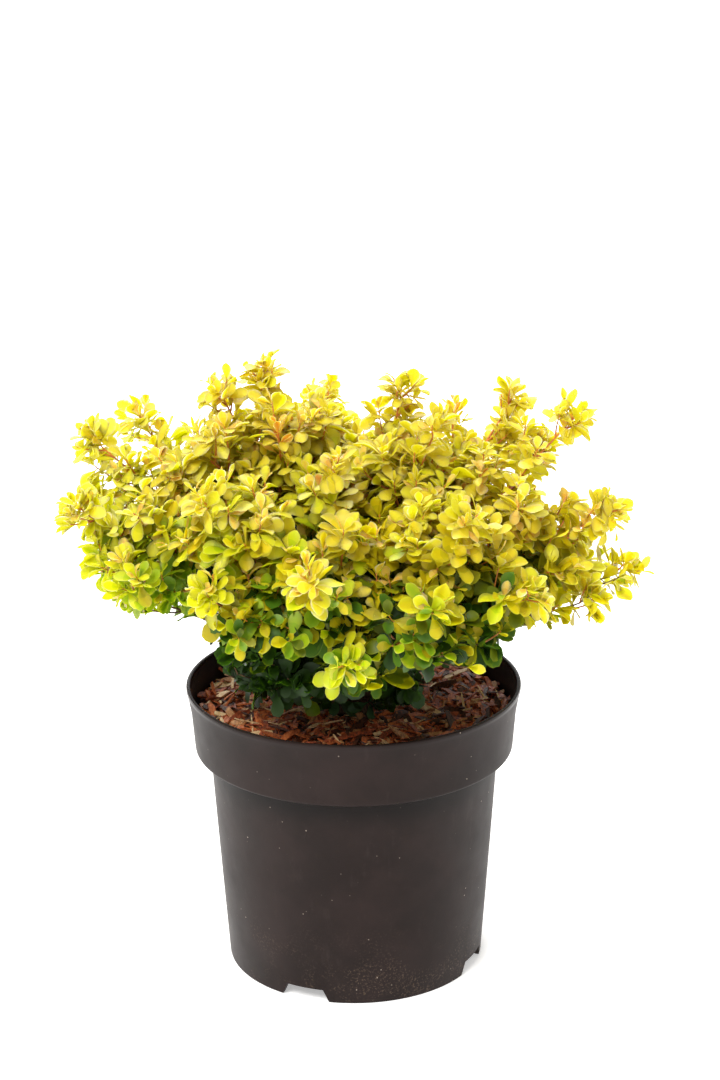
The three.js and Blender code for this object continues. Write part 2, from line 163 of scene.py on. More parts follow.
FOLIAGE_NODES = ["foliage_" + row[0] for row in MASSES]
BOUGH_NODES = ["bough_" + row[0] for row in MASSES if row[4]]


# Finishes


def linear(colour):
    """An sRGB colour of 0 to 255 as the linear colour that a shader takes."""
    shares = [c / 255 for c in colour]
    return [s / 12.92 if s <= 0.04045 else ((s + 0.055) / 1.055) ** 2.4 for s in shares] + [1.0]


class Wire:
    """A number that comes out of a node; sums and products on it add Math nodes."""

    def __init__(self, finish, socket):
        self.finish, self.socket = finish, socket

    def maths(self, operation, *values):
        made = self.finish.node("ShaderNodeMath", {"operation": operation}, dict(enumerate(values)))
        return Wire(self.finish, made.outputs[0])

    def __add__(self, other):
        return self.maths("ADD", self, other)

    __radd__ = __add__

    def __sub__(self, other):
        return self.maths("SUBTRACT", self, other)

    def __rsub__(self, other):
        return self.maths("SUBTRACT", other, self)

    def __mul__(self, other):
        return self.maths("MULTIPLY", self, other)

    __rmul__ = __mul__

    def step(self, low, high):
        """0 below low and 1 above high, with a soft slope between."""
        values = {"Value": self, "From Min": low, "From Max": high}
        made = self.finish.node("ShaderNodeMapRange", {"interpolation_type": "SMOOTHSTEP"}, values)
        return Wire(self.finish, made.outputs["Result"])


class Finish:
    """A material built from one Principled shader."""

    def __init__(self, name, colour, roughness, **sockets):
        self.material = bpy.data.materials.new(name)
        self.material.use_nodes = True
        self.tree = self.material.node_tree
        self.shader = self.tree.nodes["Principled BSDF"]
        self.shader.inputs["Base Color"].default_value = linear(colour)
        self.shader.inputs["Roughness"].default_value = roughness
        for socket, value in sockets.items():
            self.shader.inputs[socket.replace("_", " ")].default_value = value
        self.place = None

    def node(self, kind, settings, values):
        """A node of a type with its settings, then the values or links of its sockets."""
        made = self.tree.nodes.new(kind)
        for key, value in settings.items():
            setattr(made, key, value)
        for key, value in values.items():
            if isinstance(value, Wire):
                value = value.socket
            if isinstance(value, bpy.types.NodeSocket):
                self.tree.links.new(value, made.inputs[key])
            else:
                made.inputs[key].default_value = value
        return made

    def spot(self, scale=(1, 1, 1)):
        """The place on the object in metres, scaled."""
        if self.place is None:
            self.place = self.node("ShaderNodeTexCoord", {}, {}).outputs["Object"]
        made = self.node("ShaderNodeMapping", {}, {"Vector": self.place, "Scale": scale})
        return made.outputs["Vector"]

    def height(self):
        """The height on the object in metres."""
        return Wire(self, self.node("ShaderNodeSeparateXYZ", {}, {"Vector": self.spot()}).outputs["Z"])

    def grain(self, size, detail=3, rough=0.55, stretch=(1, 1, 1)):
        """Noise of 0 to 1 with lumps of about a size in millimetres."""
        values = {"Vector": self.spot(stretch), "Scale": 1 / (size * MM), "Detail": detail}
        made = self.node("ShaderNodeTexNoise", {}, {**values, "Roughness": rough})
        return Wire(self, made.outputs["Fac"])

    def cells(self, size):
        """Distance from the nearest of scattered points, about a size in millimetres apart."""
        made = self.node("ShaderNodeTexVoronoi", {}, {"Vector": self.spot(), "Scale": 1 / (size * MM)})
        return Wire(self, made.outputs["Distance"])

    def mixed(self, share, first, second):
        """A colour between two, each an sRGB colour or a link."""
        first, second = (linear(c) if isinstance(c, tuple) else c for c in (first, second))
        made = self.node("ShaderNodeMix", {"data_type": "RGBA"}, {0: share, 6: first, 7: second})
        return made.outputs[2]

    def paint(self, socket, value):
        link = value.socket if isinstance(value, Wire) else value
        self.tree.links.new(link, self.shader.inputs[socket])

    def bump(self, height, depth, strength):
        """Raises the surface by a height of 0 to 1, at a depth in millimetres."""
        values = {"Strength": strength, "Distance": depth * MM, "Height": height}
        self.paint("Normal", self.node("ShaderNodeBump", {}, values).outputs["Normal"])


def pot_plastic():
    """Dull brownish black with clouds, scuffs, pale specks and dust at its foot; painted shade darkens a
    band of the body under the collar, and it is glossier at the lip."""
    finish = Finish("pot_plastic", (35, 25, 23), 0.5, Specular_IOR_Level=0.15)
    height = finish.height()
    clouds = finish.grain(38, 4).step(0.3, 0.75)
    tone = finish.mixed(clouds, (30, 21, 19), (40, 29, 27))
    scuffs = finish.grain(9, 5, 0.7, (1, 1, 0.35)).step(0.56, 0.78)
    tone = finish.mixed(scuffs * 0.3, tone, (58, 48, 45))
    specks = (1 - finish.cells(6).step(0.04, 0.085)) * finish.grain(21, 2).step(0.48, 0.6)
    tone = finish.mixed(specks * 0.8, tone, (176, 160, 146))
    # painted shade: a dark band (14, 10, 9) on the body under the collar, standing in for the collar's
    # shadow
    shade = height.step((BODY_TOP_Z - 19) * MM, (BODY_TOP_Z + 2) * MM)
    collar = height.step((COLLAR_FOOT_Z - 2) * MM, (COLLAR_FOOT_Z - 1) * MM)
    tone = finish.mixed(shade * (1 - collar) * 0.8, tone, (14, 10, 9))
    dust = finish.grain(1.3, 4, 0.75).step(0.5, 0.75) * finish.grain(26, 2).step(0.42, 0.62)
    foot = 1 - height.step(0, 60 * MM)
    finish.paint("Base Color", finish.mixed(foot * dust * 0.45, tone, (146, 122, 102)))
    lip = height.step((POT_HEIGHT - 4.5) * MM, (POT_HEIGHT - 1.5) * MM)
    finish.paint("Roughness", finish.grain(14, 3) * 0.16 + 0.42 - lip * 0.24)
    finish.bump(finish.grain(0.9, 3), 0.06, 0.5)
    return finish.material


def mottled(name, colours, roughness, grain, edges, relief=None, plain=None, **sockets):
    """A finish between two colours in patches of noise, which may also raise it; its plain colour is the
    first one unless told."""
    finish = Finish(name, plain or colours[0], roughness, **sockets)
    patches = finish.grain(*grain)
    finish.paint("Base Color", finish.mixed(patches.step(*edges), *colours))
    if relief:
        finish.bump(patches, *relief)
    return finish.material


def bark(name, *colours):
    return mottled(name, colours, 0.8, (2.2, 5, 0.7, (1, 1, 0.22)), (0.35, 0.68), (0.5, 0.8))


def twig_bark():
    return mottled("twig_bark", ((228, 142, 62), (184, 104, 48)), 0.45, (7, 3), (0.35, 0.65))


def mulch(name, *colours):
    grain = (1.6, 5, 0.75, (1, 0.35, 1))
    return mottled(name, colours, 0.5, grain, (0.32, 0.7), (0.5, 0.8), Specular_IOR_Level=0.35)


def damp_soil():
    colours = ((26, 15, 10), (88, 48, 28))
    return mottled("damp_soil", colours, 0.8, (3, 5, 0.7), (0.38, 0.66), (1.2, 0.9), (48, 28, 18))


def leaf_skin(name, colour, through):
    """One plain leaf colour that lets a share of the light through."""
    finish = Finish(
        name,
        colour,
        0.46,
        Specular_IOR_Level=0.28,
        Subsurface_Weight=through,
        Subsurface_Scale=1.6 * MM,
        Subsurface_Radius=(0.9, 1.0, 0.2),
    )
    return finish.material


# Meshes


def deselect():
    bpy.ops.object.select_all(action="DESELECT")


def pick(piece):
    deselect()
    piece.select_set(True)
    bpy.context.view_layer.objects.active = piece


def smooth(piece, angle):
    pick(piece)
    bpy.ops.object.shade_smooth_by_angle(angle=math.radians(angle))


def finished(piece, nodes=()):
    """Every piece rides on the one body, and may take the place of its solids."""
    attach(piece, "root")
    if nodes:
        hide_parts(*nodes)


def dressed(piece, finish, angle, nodes):
    """Finishes a piece that was made with operators."""
    piece.data.materials.clear()
    piece.data.materials.append(finish)
    smooth(piece, angle)
    finished(piece, nodes)


class Heap:
    """Spots and faces of many like shapes, joined into one mesh."""

    def __init__(self):
        self.spots, self.corners, self.sizes, self.slots = [], [], [], []
        self.count = 0

    def add(self, spots, faces, slots=None):
        """Adds one shape, or several that share faces: spots is (spots, 3) or (shapes, spots, 3)."""
        spots = np.asarray(spots, float)
        if spots.ndim == 2:
            spots = spots[None]
        shapes, each = spots.shape[:2]
        corners = np.concatenate([np.asarray(face) for face in faces])
        sizes = np.array([len(face) for face in faces])
        starts = self.count + each * np.arange(shapes)
        self.spots.append(spots.reshape(-1, 3))
        self.corners.append((corners[None] + starts[:, None]).reshape(-1))
        self.sizes.append(np.tile(sizes, shapes))
        self.slots.append(np.tile([0] * len(faces) if slots is None else slots, shapes))
        self.count += shapes * each

    def piece(self, name, finishes, angle):
        spots, corners = np.concatenate(self.spots) * MM, np.concatenate(self.corners)
        sizes, slots = np.concatenate(self.sizes), np.concatenate(self.slots)
        mesh = bpy.data.meshes.new(name)
        mesh.vertices.add(len(spots))
        mesh.vertices.foreach_set("co", spots.reshape(-1).astype(np.float32))
        mesh.loops.add(len(corners))
        mesh.loops.foreach_set("vertex_index", corners.astype(np.int32))
        mesh.polygons.add(len(sizes))
        mesh.polygons.foreach_set("loop_start", (np.cumsum(sizes) - sizes).astype(np.int32))
        mesh.polygons.foreach_set("material_index", slots.astype(np.int32))
        mesh.update(calc_edges=True)
        mesh.validate()
        for finish in finishes:
            mesh.materials.append(finish)
        made = bpy.data.objects.new(name, mesh)
        bpy.context.scene.collection.objects.link(made)
        smooth(made, angle)
        return made


def unit(vector):
    return vector / np.linalg.norm(vector)


def across(tangent):
    """Two directions square to a tangent and to each other, the first one level."""
    level = np.cross(UP, tangent)
    if np.linalg.norm(level) < 0.05:
        level = np.array([1.0, 0.0, 0.0])
    level = unit(level)
    return level, unit(np.cross(level, tangent))


def polar(radius, turn):
    return radius * math.cos(turn), radius * math.sin(turn)


def cloud(*place):
    """Smooth noise of about -0.5 to 0.5, with lumps about 1 wide."""
    return noise.noise(Vector(place))


def outward(tangent, turn):
    """The direction square to a tangent at a turn about it."""
    level, over = across(tangent)
    return over * math.cos(turn) + level * math.sin(turn)


def tube(spots, radii, sides):
    """Spots and faces of a tube through spots, closed with a point at either end."""
    spots = np.asarray(spots, float)
    tangents = np.gradient(spots, axis=0)
    turns = 2 * math.pi * np.arange(sides) / sides
    c, s = np.cos(turns), np.sin(turns)
    rings = []
    for spot, tangent, radius in zip(spots, tangents, radii):
        level, over = across(unit(tangent))
        rings.append(spot + np.outer(c, level) * radius + np.outer(s, over) * radius)
    count = len(spots)
    ends = [spots[0], spots[-1] + unit(tangents[-1]) * radii[-1]]
    faces = []
    for i in range(count - 1):
        for k in range(sides):
            a, b = i * sides + k, i * sides + (k + 1) % sides
            faces.append((a, a + sides, b + sides, b))
    root, tip = count * sides, count * sides + 1
    for k in range(sides):
        a, b = k, (k + 1) % sides
        faces.append((root, a, b))
        faces.append((tip, (count - 1) * sides + b, (count - 1) * sides + a))
    return np.concatenate([*rings, np.array(ends)]), faces


# The rule

# Open sky between the plumes as seen from the front: the middle of each gap on the upright plane through
# the pot's axis, X and Z, and its half width and half height.
SKY = [
    (-33, 361, 7, 17),  # between top and mid_top
    (7, 357, 7, 12),  # between mid_top and centre_top
    (75, 352, 11, 28),  # between crown_right and right_top
    (134, 307, 18, 17),  # between right_high and right
    (116, 294, 8, 12),
    (108, 196, 18, 16),  # under right_front
    (58, 174, 18, 10),  # under front_right
    (-158, 232, 12, 12),  # under far_left
]
EYE = np.array([4.4, -1500.0, 774.0])  # the camera's place
BROAD_ASIDE, BROAD_BELOW = 0.45, 50  # broad masses point further aside, and lower in degrees
CURVE_SPOTS, CUT_SPOTS = 81, 41  # along a shoot, and along one that is cut back


def seeded(seed):
    """The rule's own generator, with the same draws as in the part's source."""
    state = seed

    def draw():
        nonlocal state
        state = state * 48271 % 2147483647
        return state / 2147483647

    return draw


def heading(azimuth, elevation):
    a, e = math.radians(azimuth), math.radians(elevation)
    return np.array([math.sin(a) * math.cos(e), -math.cos(a) * math.cos(e), math.sin(e)])


def turned(vector, axis, angle):
    """A vector turned about an axis."""
    c, s = math.cos(angle), math.sin(angle)
    return vector * c + np.cross(axis, vector) * s + axis * np.dot(axis, vector) * (1 - c)


class Shoot:
    """A curve through spots that is read by its share of length."""

    def __init__(self, spots):
        self.spots = spots
        steps = np.linalg.norm(np.diff(spots, axis=0), axis=1)
        self.run = np.concatenate([[0], np.cumsum(steps)])
        self.length = self.run[-1]

    def at(self, share):
        return np.array([np.interp(share * self.length, self.run, self.spots[:, k]) for k in range(3)])

    def cut_at(self, share):
        """The same curve up to a share of its length."""
        return Shoot(np.array([self.at(s) for s in np.linspace(0, share, CUT_SPOTS)]))

    def tangent(self, share):
        return unit(self.at(min(share + 0.02, 1)) - self.at(max(share - 0.02, 0)))

    def below_tip(self, down):
        """The spot and the tangent at a distance from the tip."""
        share = 1 - down / self.length
        return self.at(share), self.tangent(share)


def bowed(start, middle, tip):
    """A shoot along a quadratic curve."""
    t = np.linspace(0, 1, CURVE_SPOTS)[:, None]
    return Shoot((1 - t) ** 2 * start + 2 * t * (1 - t) * middle + t * t * tip)


class Mass:
    def __init__(self, index, name, azimuth, elevation, reach, bough, tone, nose):
        self.index, self.name, self.elevation, self.reach = index, name, elevation, reach
        self.bough, self.tone, self.nose = bough, tone, nose
        self.direction = heading(azimuth, elevation)
        self.broad = abs(self.direction[0]) > BROAD_ASIDE and elevation < BROAD_BELOW
        early = heading(azimuth, elevation + CANE_RISE)
        length = reach - LEAF_TAIL
        self.leader = bowed(HEART, HEART + early * length / 2, HEART + self.direction * length)


masses = [Mass(index, *row) for index, row in enumerate(MASSES)]


def room_in(mass, point):
    """How far a point lies inside a mass's own cone."""
    offset = point - HEART
    return min(
        np.dot(offset, unit(mass.direction - other.direction)) for other in masses if other is not mass
    )


def share_of(value, low, high):
    """0 up to low, 1 from high on."""
    return min(1, max(0, (value - low) / (high - low)))


def above_underside(point):
    radius = math.hypot(point[0], point[1])
    if radius < SKIRT_RADIUS:
        return point[2] > SOIL_Z + SOIL_ROOM
    curl = max(0, radius - SKIRT_CURL_RADIUS)
    return point[2] > SKIRT_Z + SKIRT_SLOPE * (radius - SKIRT_RADIUS) + SKIRT_CURL * curl * curl


def clear_below(point):
    """Whether a leaf may reach this point: as above_underside, but the leaves keep higher than the
    wood's reach over the soil and round the pot's lip."""
    radius = math.hypot(point[0], point[1])
    if radius < SKIRT_RADIUS:
        hang = LEAF_ROOM + LIP_ROOM * share_of(radius, 30, 70)
        return point[2] > SOIL_Z + hang
    curl = max(0, radius - SKIRT_CURL_RADIUS)
    side = share_of(abs(point[0]) / radius, 0.4, 0.75)
    lowest = LEAF_SKIRT_Z + SIDE_RISE * side + SKIRT_SLOPE * (radius - SKIRT_RADIUS)
    lean = SIDE_LEAN * point[0] * share_of(radius, 140, 160)
    return point[2] > lowest + LEAF_CURL * curl * curl - lean


def in_sky(point):
    """Whether a point shows in one of the gaps, seen from the front."""
    sight = point - EYE
    seen = EYE - sight * EYE[1] / sight[1]
    return any(math.hypot((seen[0] - x) / wide, (seen[2] - z) / high) < 1 for x, z, wide, high in SKY)


def good_end(tip):
    """Whether wood may end here: clear above the leaves' underside, and in no gap."""
    return clear_below(tip - LOWEST_TIP * UP) and not in_sky(tip)


def side_shoots(mass):
    """The side shoots of the part's source, fanned out from the leader like a sunflower's seeds."""
    draw = seeded(FIRST_SEED + SEED_STEP * mass.index)
    length = mass.reach - LEAF_TAIL
    level = unit(np.cross(UP, mass.direction))
    phase = draw() * 2 * math.pi
    shoots = []
    for k in range(SHOOTS):
        far = length * (SHOOT_REACH + SHOOT_REACH_RANGE * draw())
        axis = turned(level, mass.direction, k * GOLDEN_ANGLE + phase)
        spread = math.radians(SHOOT_SPREAD) * math.sqrt((k + SPREAD_START) / SHOOTS)
        for _ in range(SPREAD_TRIALS):
            tip = HEART + turned(mass.direction, axis, spread) * far
            clear = room_in(mass, tip) > SHOOT_ROOM and above_underside(tip)
            if clear and spread > math.radians(SMALLEST_SPREAD):
                back = math.cos(spread) - math.sin(spread) / math.tan(math.radians(BRANCH_ANGLE))
                joint = max(BOUGH_SHARE + FIRST_JOINT, far * back / length)
                start = mass.leader.at(min(joint, LAST_JOINT))
                reach = tip - start
                bow = reach - mass.direction * np.dot(reach, mass.direction)
                shoots.append(bowed(start, (start + tip) / 2 + SHOOT_BEND * bow, tip))
                break
            spread *= SPREAD_SHRINK
    return shoots


# Finer twigs

TWIG_ROOM = -2.0  # finer twigs may end this far outside their own cone
TWIG_SPACING = 8.3
BROAD_SPACING = 0.8  # they stand closer on the broad low masses at the sides
STEEP_SPACING = 0.15  # and up to this share closer on steep masses
RIGHT_SPACING = 1.25  # and wider where a mass's direction goes further right than FAR_RIGHT
FAR_RIGHT = 0.6
FIRST_TWIG = 10  # from the carrier's tip
TWIG_REACHES = (17, 36)
TIP_REACH, REACH_GAIN = 12, 0.9  # the most at the carrier's tip, and its growth down the carrier
TWIG_ANGLES = (34, 58)  # degrees from their carrier
TWIG_TRIALS = 3
TRIAL_TURN = 2.1
TWIG_BOW = 0.1
TWIG_RISE = 0.55  # how far the finer twigs turn up
TIP_CLEARANCE = 7  # between the tips of any two twigs
LOWEST_TIP = 5  # a twig's tip stays this far above the leaves' underside
PLUME_SHORT = 7  # finer twigs end this far short of a mass's reach
JITTER = (0.8, 1.25)  # spacings lie between these shares of the rule's

# Leaders and shoots go on further than the solids' wood, and are cut back where their tip isn't clear
TIP_TWIG = 9
TIP_RISE = 0.25
TIP_SCATTER = 0.08
CUT_STEP = 0.04
SHORTEST_CUT = 0.4

# The ring of twigs below a leader's tip: their number on high masses and low ones, and their growth from
# the first one down
HIGH_CREST, LOW_CREST = 5, 2
HIGH_REACH = 189
CREST_DOWN, CREST_STEP = 4, 3.5
CREST_REACHES, CREST_GAIN = (8, 12), 1.2
CREST_SPREAD = 0.75
CREST_BOW = 0.12

tips = []


def in_plume(mass, tip):
    """Whether a tip keeps to its mass's plume, which narrows towards the leader's own tip."""
    offset = tip - HEART
    along = np.dot(offset, mass.direction)
    aside = np.linalg.norm(offset - along * mass.direction)
    return along + mass.nose * aside < mass.reach - PLUME_SHORT


def free_tip(tip):
    """Whether a twig's tip is far enough from those that are there; if so it takes its place."""
    if tips and np.min(np.linalg.norm(np.array(tips) - tip, axis=1)) < TIP_CLEARANCE:
        return False
    tips.append(tip)
    return True


def finer_twigs(mass, carrier, first, random):
    """Short side twigs up a carrier, each turned on by the golden angle from the one before."""
    twigs = []
    spacing = TWIG_SPACING * (BROAD_SPACING if mass.broad else 1 - STEEP_SPACING * mass.direction[2])
    if mass.direction[0] > FAR_RIGHT:
        spacing *= RIGHT_SPACING
    turn = random.uniform(0, 2 * math.pi)
    down = FIRST_TWIG
    while down < carrier.length * (1 - first):
        start, tangent = carrier.below_tip(down)
        angle = math.radians(random.uniform(*TWIG_ANGLES))
        reach = min(random.uniform(*TWIG_REACHES), TIP_REACH + REACH_GAIN * down)
        for _ in range(TWIG_TRIALS):
            out = outward(tangent, turn)
            way = unit(tangent * math.cos(angle) + out * math.sin(angle) + UP * TWIG_RISE)
            tip = start + reach * way
            inside = room_in(mass, tip) > TWIG_ROOM and good_end(tip)
            if inside and in_plume(mass, tip) and free_tip(tip):
                twigs.append(bowed(start, (start + tip) / 2 + (out - UP) * TWIG_BOW * reach, tip))
                break
            turn += TRIAL_TURN
        turn += GOLDEN_ANGLE
        down += spacing * random.uniform(*JITTER)
    return twigs


# Leaves

# Leaf tints from the sunny tips to the shaded heart, then three for leaves with a tint of their own:
# name, blade, margin and the blade near its stalk. The ladder is partly the leaves' own colours, yellow
# outside and green within, and partly painted light and shade: lighter tints high and far out, darker
# ones within.
TINTS = [
    ("butter", (230, 222, 80), (235, 228, 102), (222, 216, 58)),
    ("honey", (228, 205, 52), (233, 214, 77), (218, 196, 34)),
    ("lemon", (220, 212, 32), (227, 221, 58), (208, 204, 24)),
    ("sulphur", (206, 206, 20), (216, 215, 43), (192, 198, 14)),
    ("amber", (226, 194, 24), (232, 204, 47), (206, 182, 14)),
    ("gold", (202, 181, 8), (210, 191, 30), (184, 170, 6)),
    ("chartreuse", (180, 192, 10), (194, 203, 33), (160, 182, 10)),
    ("old_gold", (172, 154, 4), (185, 168, 22), (152, 142, 4)),
    ("lime", (148, 174, 12), (168, 187, 32), (130, 162, 12)),
    ("olive", (134, 132, 2), (151, 150, 17), (114, 120, 2)),
    ("fresh_green", (104, 140, 12), (130, 159, 28), (88, 124, 12)),
    ("moss", (86, 98, 2), (107, 116, 13), (72, 90, 4)),
    ("green", (60, 96, 12), (86, 118, 23), (50, 84, 12)),
    ("deep_green", (30, 54, 8), (45, 71, 15), (24, 46, 8)),
    ("bluish_green", (54, 86, 46), (73, 105, 56), (42, 72, 38)),
    ("peach", (246, 190, 84), (247, 201, 101), (238, 172, 66)),
    ("blush", (232, 146, 74), (238, 165, 89), (222, 128, 60)),
]
TINT = {row[0]: index for index, row in enumerate(TINTS)}
GOLDEN_LADDER = (
    "honey honey lemon amber gold gold old_gold olive moss green deep_green deep_green"
).split()
LIME_LADDER = (
    "butter lemon sulphur sulphur chartreuse chartreuse lime fresh_green fresh_green green deep_green"
    " deep_green"
).split()

# A blade's stations from stalk to tip: the share of its length and of its full width
LEAF_ROWS = [(0, 0.09), (0.12, 0.1), (0.25, 0.3), (0.4, 0.63), (0.55, 0.89), (0.68, 1), (0.81, 0.88)]
LEAF_ROWS += [(0.92, 0.54), (1, 0)]
PLAIN_ROWS = [(0, 0.09), (0.24, 0.24), (0.45, 0.74), (0.7, 1), (0.9, 0.7), (1, 0)]
MARGIN = 0.89  # where a blade's pale margin starts, as a share of its half width
LEAF_THICKNESS = 0.34
STALK = 0.16  # this share of a leaf stays straight
SHEER = (180, 420)  # leaves let the more light through, the lighter their colour's sum is between these
SHEER_SHARES = (0.15, 0.95)
FULL_BLADE_SUN = 0.3  # shadier leaves have the plain blade

# The mean and scatter of a leaf's curl lengthwise, cup crosswise, twist and wave of its edge
LEAF_SHAPES = [(0.45, 0.5), (0.17, 0.15), (0, 0.45), (0, 0.12)]
FACE_UP, FACE_OUT, FACE_SCATTER = 0.5, 0.15, 0.48  # how a leaf's upper side turns from its twig's way

# How sunny a leaf stands, which picks its tint and so paints light and shade into it: what it gains far
# out, high up, near a tip and at the sides, and in patches
FOLIAGE_HEIGHT = 170
OUTER_SUN, SHADY_OUT = 1.2, 0.65
HIGH_SUN, LOW_SUN = 2.35, 0.68
TIP_SUN, HIGH_TIP = 0.75, 0.5
SIDE_SUN = 0.25
SHADE = 0.56
PATCH_SUN, SUN_SCATTER = 0.2, 0.1

# The chance of the limier ladder of tints on the axis at LIME_Z, and how it changes to the right,
# upwards and in patches; then how many of the dark tints are shut out high up and at the sides, which
# paints light on the crown's top and sides
LIME_CHANCE, LIME_RIGHT, LIME_UP, LIME_PATCH = 0.52, 0.0045, 0.008, 0.9
LIME_Z = 240
HIGH_BRIGHT, SIDE_BRIGHT = 9, 5
TINT_SCATTER = 1.1

# Some leaves have a tint of their own: small ones high up and those in the shade over the soil, whose
# dark greens are partly painted shade
PEACH_ABOVE, PEACH_LENGTH, PEACH_SHARE = 255, 12.5, 0.32
BLUISH_BELOW, BLUISH_SUN, BLUISH_SHARE = 192, 0.35, 0.6
YOUNG_PEACH = 0.55

# Tufts: what the innermost leaf has, and how much more the outermost one
TUFT_DOWN, TUFT_DEPTH = 0.6, 5.5
TUFT_TILT, TUFT_SPREAD, TUFT_SCATTER = 16, 66, 17
TUFT_SIZE, TUFT_GROWTH = 0.58, 0.46
TUFT_LENGTHS, TUFT_WIDTHS = (0.78, 1.16), (0.44, 0.6)

# How many leaves the tufts have, from the first number to below the second, and the tufts' sizes
CREST_TUFT = (5, 8), (14, 17)
CARRIER_TUFT = (8, 12), (16, 20)
TWIG_TUFT = (6, 10), (14, 18)
SPROUT_TUFT = (6, 9), (14, 18)

# Bunches: the first one's place below the tip and the turn from leaf to leaf in it; at the fade they
# gain no sun from the tip, and further down they lose some
BUNCH_DOWN = 7
BUNCH_TURN, BUNCH_SCATTER = 1.25, 0.25
BUNCH_TILTS = (38, 78)
BUNCH_LENGTHS, BUNCH_WIDTHS = (0.66, 1.18), (0.43, 0.62)
BUNCH_FADE = 24

# Young tips: the most they take up, their leaves' size at the tip and its growth further down
YOUNG_REACH, YOUNG_SHARE = 26, 0.5
YOUNG_LEAF, YOUNG_SIZE, YOUNG_GROWTH, YOUNG_WIDTH = 19, 0.5, 0.018, 0.36
YOUNG_TILT, YOUNG_SPREAD = 18, 0.9
YOUNG_STEPS = (1.6, 2.6)

# The columns of a leaf's row after its root, its direction and the way it faces
LENGTH_COLUMN = 9
TINT_COLUMN = 15
SUN_COLUMN = 16


def blade(rows, columns):
    """A leaf's template: each spot's share along, share across, width there and whether it is below,
    with the faces and their slots; columns are the shares across its upper side."""
    spots, faces, slots = [], [], []
    wide = len(columns)
    for along, width in rows[:-1]:
        ahead = 0.05 * math.sin(math.pi * along)
        spots += [(along + ahead * (1 - abs(side)), side, width, 0) for side in columns]
        spots.append((along + ahead, 0, width, 1))
    spots.append((1, 0, 0, 0))
    tip, step = len(spots) - 1, wide + 1
    for i in range(len(rows) - 2):
        a, b = i * step, (i + 1) * step
        for k in range(wide - 1):
            faces.append((a + k, a + k + 1, b + k + 1, b + k))
            rim = wide > 3 and k in (0, wide - 2) and i > 1
            slots.append(1 if rim else 2 if 0 < i < 4 and wide > 3 else 0)
        faces += [(a + wide, b + wide, b + wide - 1, a + wide - 1), (a, b, b + wide, a + wide)]
        slots += [0, 0]
    a = (len(rows) - 2) * step
    for k in range(wide - 1):
        faces.append((a + k, a + k + 1, tip))
        slots.append(1 if wide > 3 else 0)
    faces += [(a + wide, tip, a + wide - 1), (a, tip, a + wide)]
    slots += [0, 0]
    faces += [(wide, *reversed(range(wide)))]
    slots += [0]
    return np.array(spots, float), faces, slots


FULL_BLADE = blade(LEAF_ROWS, (-1, -MARGIN, 0, MARGIN, 1))
PLAIN_BLADE = blade(PLAIN_ROWS, (-1, 0, 1))


def leaf_spots(template, rows):
    """The spots of all leaves in rows, bent, cupped and set in their places."""
    share, side, width, below = template.T
    root, along, facing = rows[:, None, 0:3], rows[:, 3:6], rows[:, 6:9]
    measures = range(LENGTH_COLUMN, TINT_COLUMN)
    length, broad, curl, cup, twist, wave = (rows[:, k][:, None] for k in measures)
    sideways = np.cross(along, facing)
    sideways /= np.linalg.norm(sideways, axis=1)[:, None]
    upward = np.cross(sideways, along)
    bent = np.maximum(share - STALK, 0)[None] * curl
    steep = np.where(np.abs(curl) < 1e-3, 1e-3, curl)
    run = length * (np.minimum(share, STALK)[None] + np.sin(bent) / steep)
    drop = -length * (1 - np.cos(bent)) / steep
    half = broad / 2 * width[None]
    turn = twist * (share - 0.2)[None]
    ripple = wave * np.sin(7 * share[None] + 9 * twist) * np.sign(side[None])
    lift = half * (cup + ripple) * np.abs(side[None]) ** 1.5 - below[None] * LEAF_THICKNESS
    reach = half * side[None]
    lift, reach = lift * np.cos(turn) + reach * np.sin(turn), reach * np.cos(turn) - lift * np.sin(turn)
    run = run + lift * np.sin(bent)
    rise = drop + lift * np.cos(bent)
    return (
        root
        + run[..., None] * along[:, None]
        + reach[..., None] * sideways[:, None]
        + rise[..., None] * upward[:, None]
    )


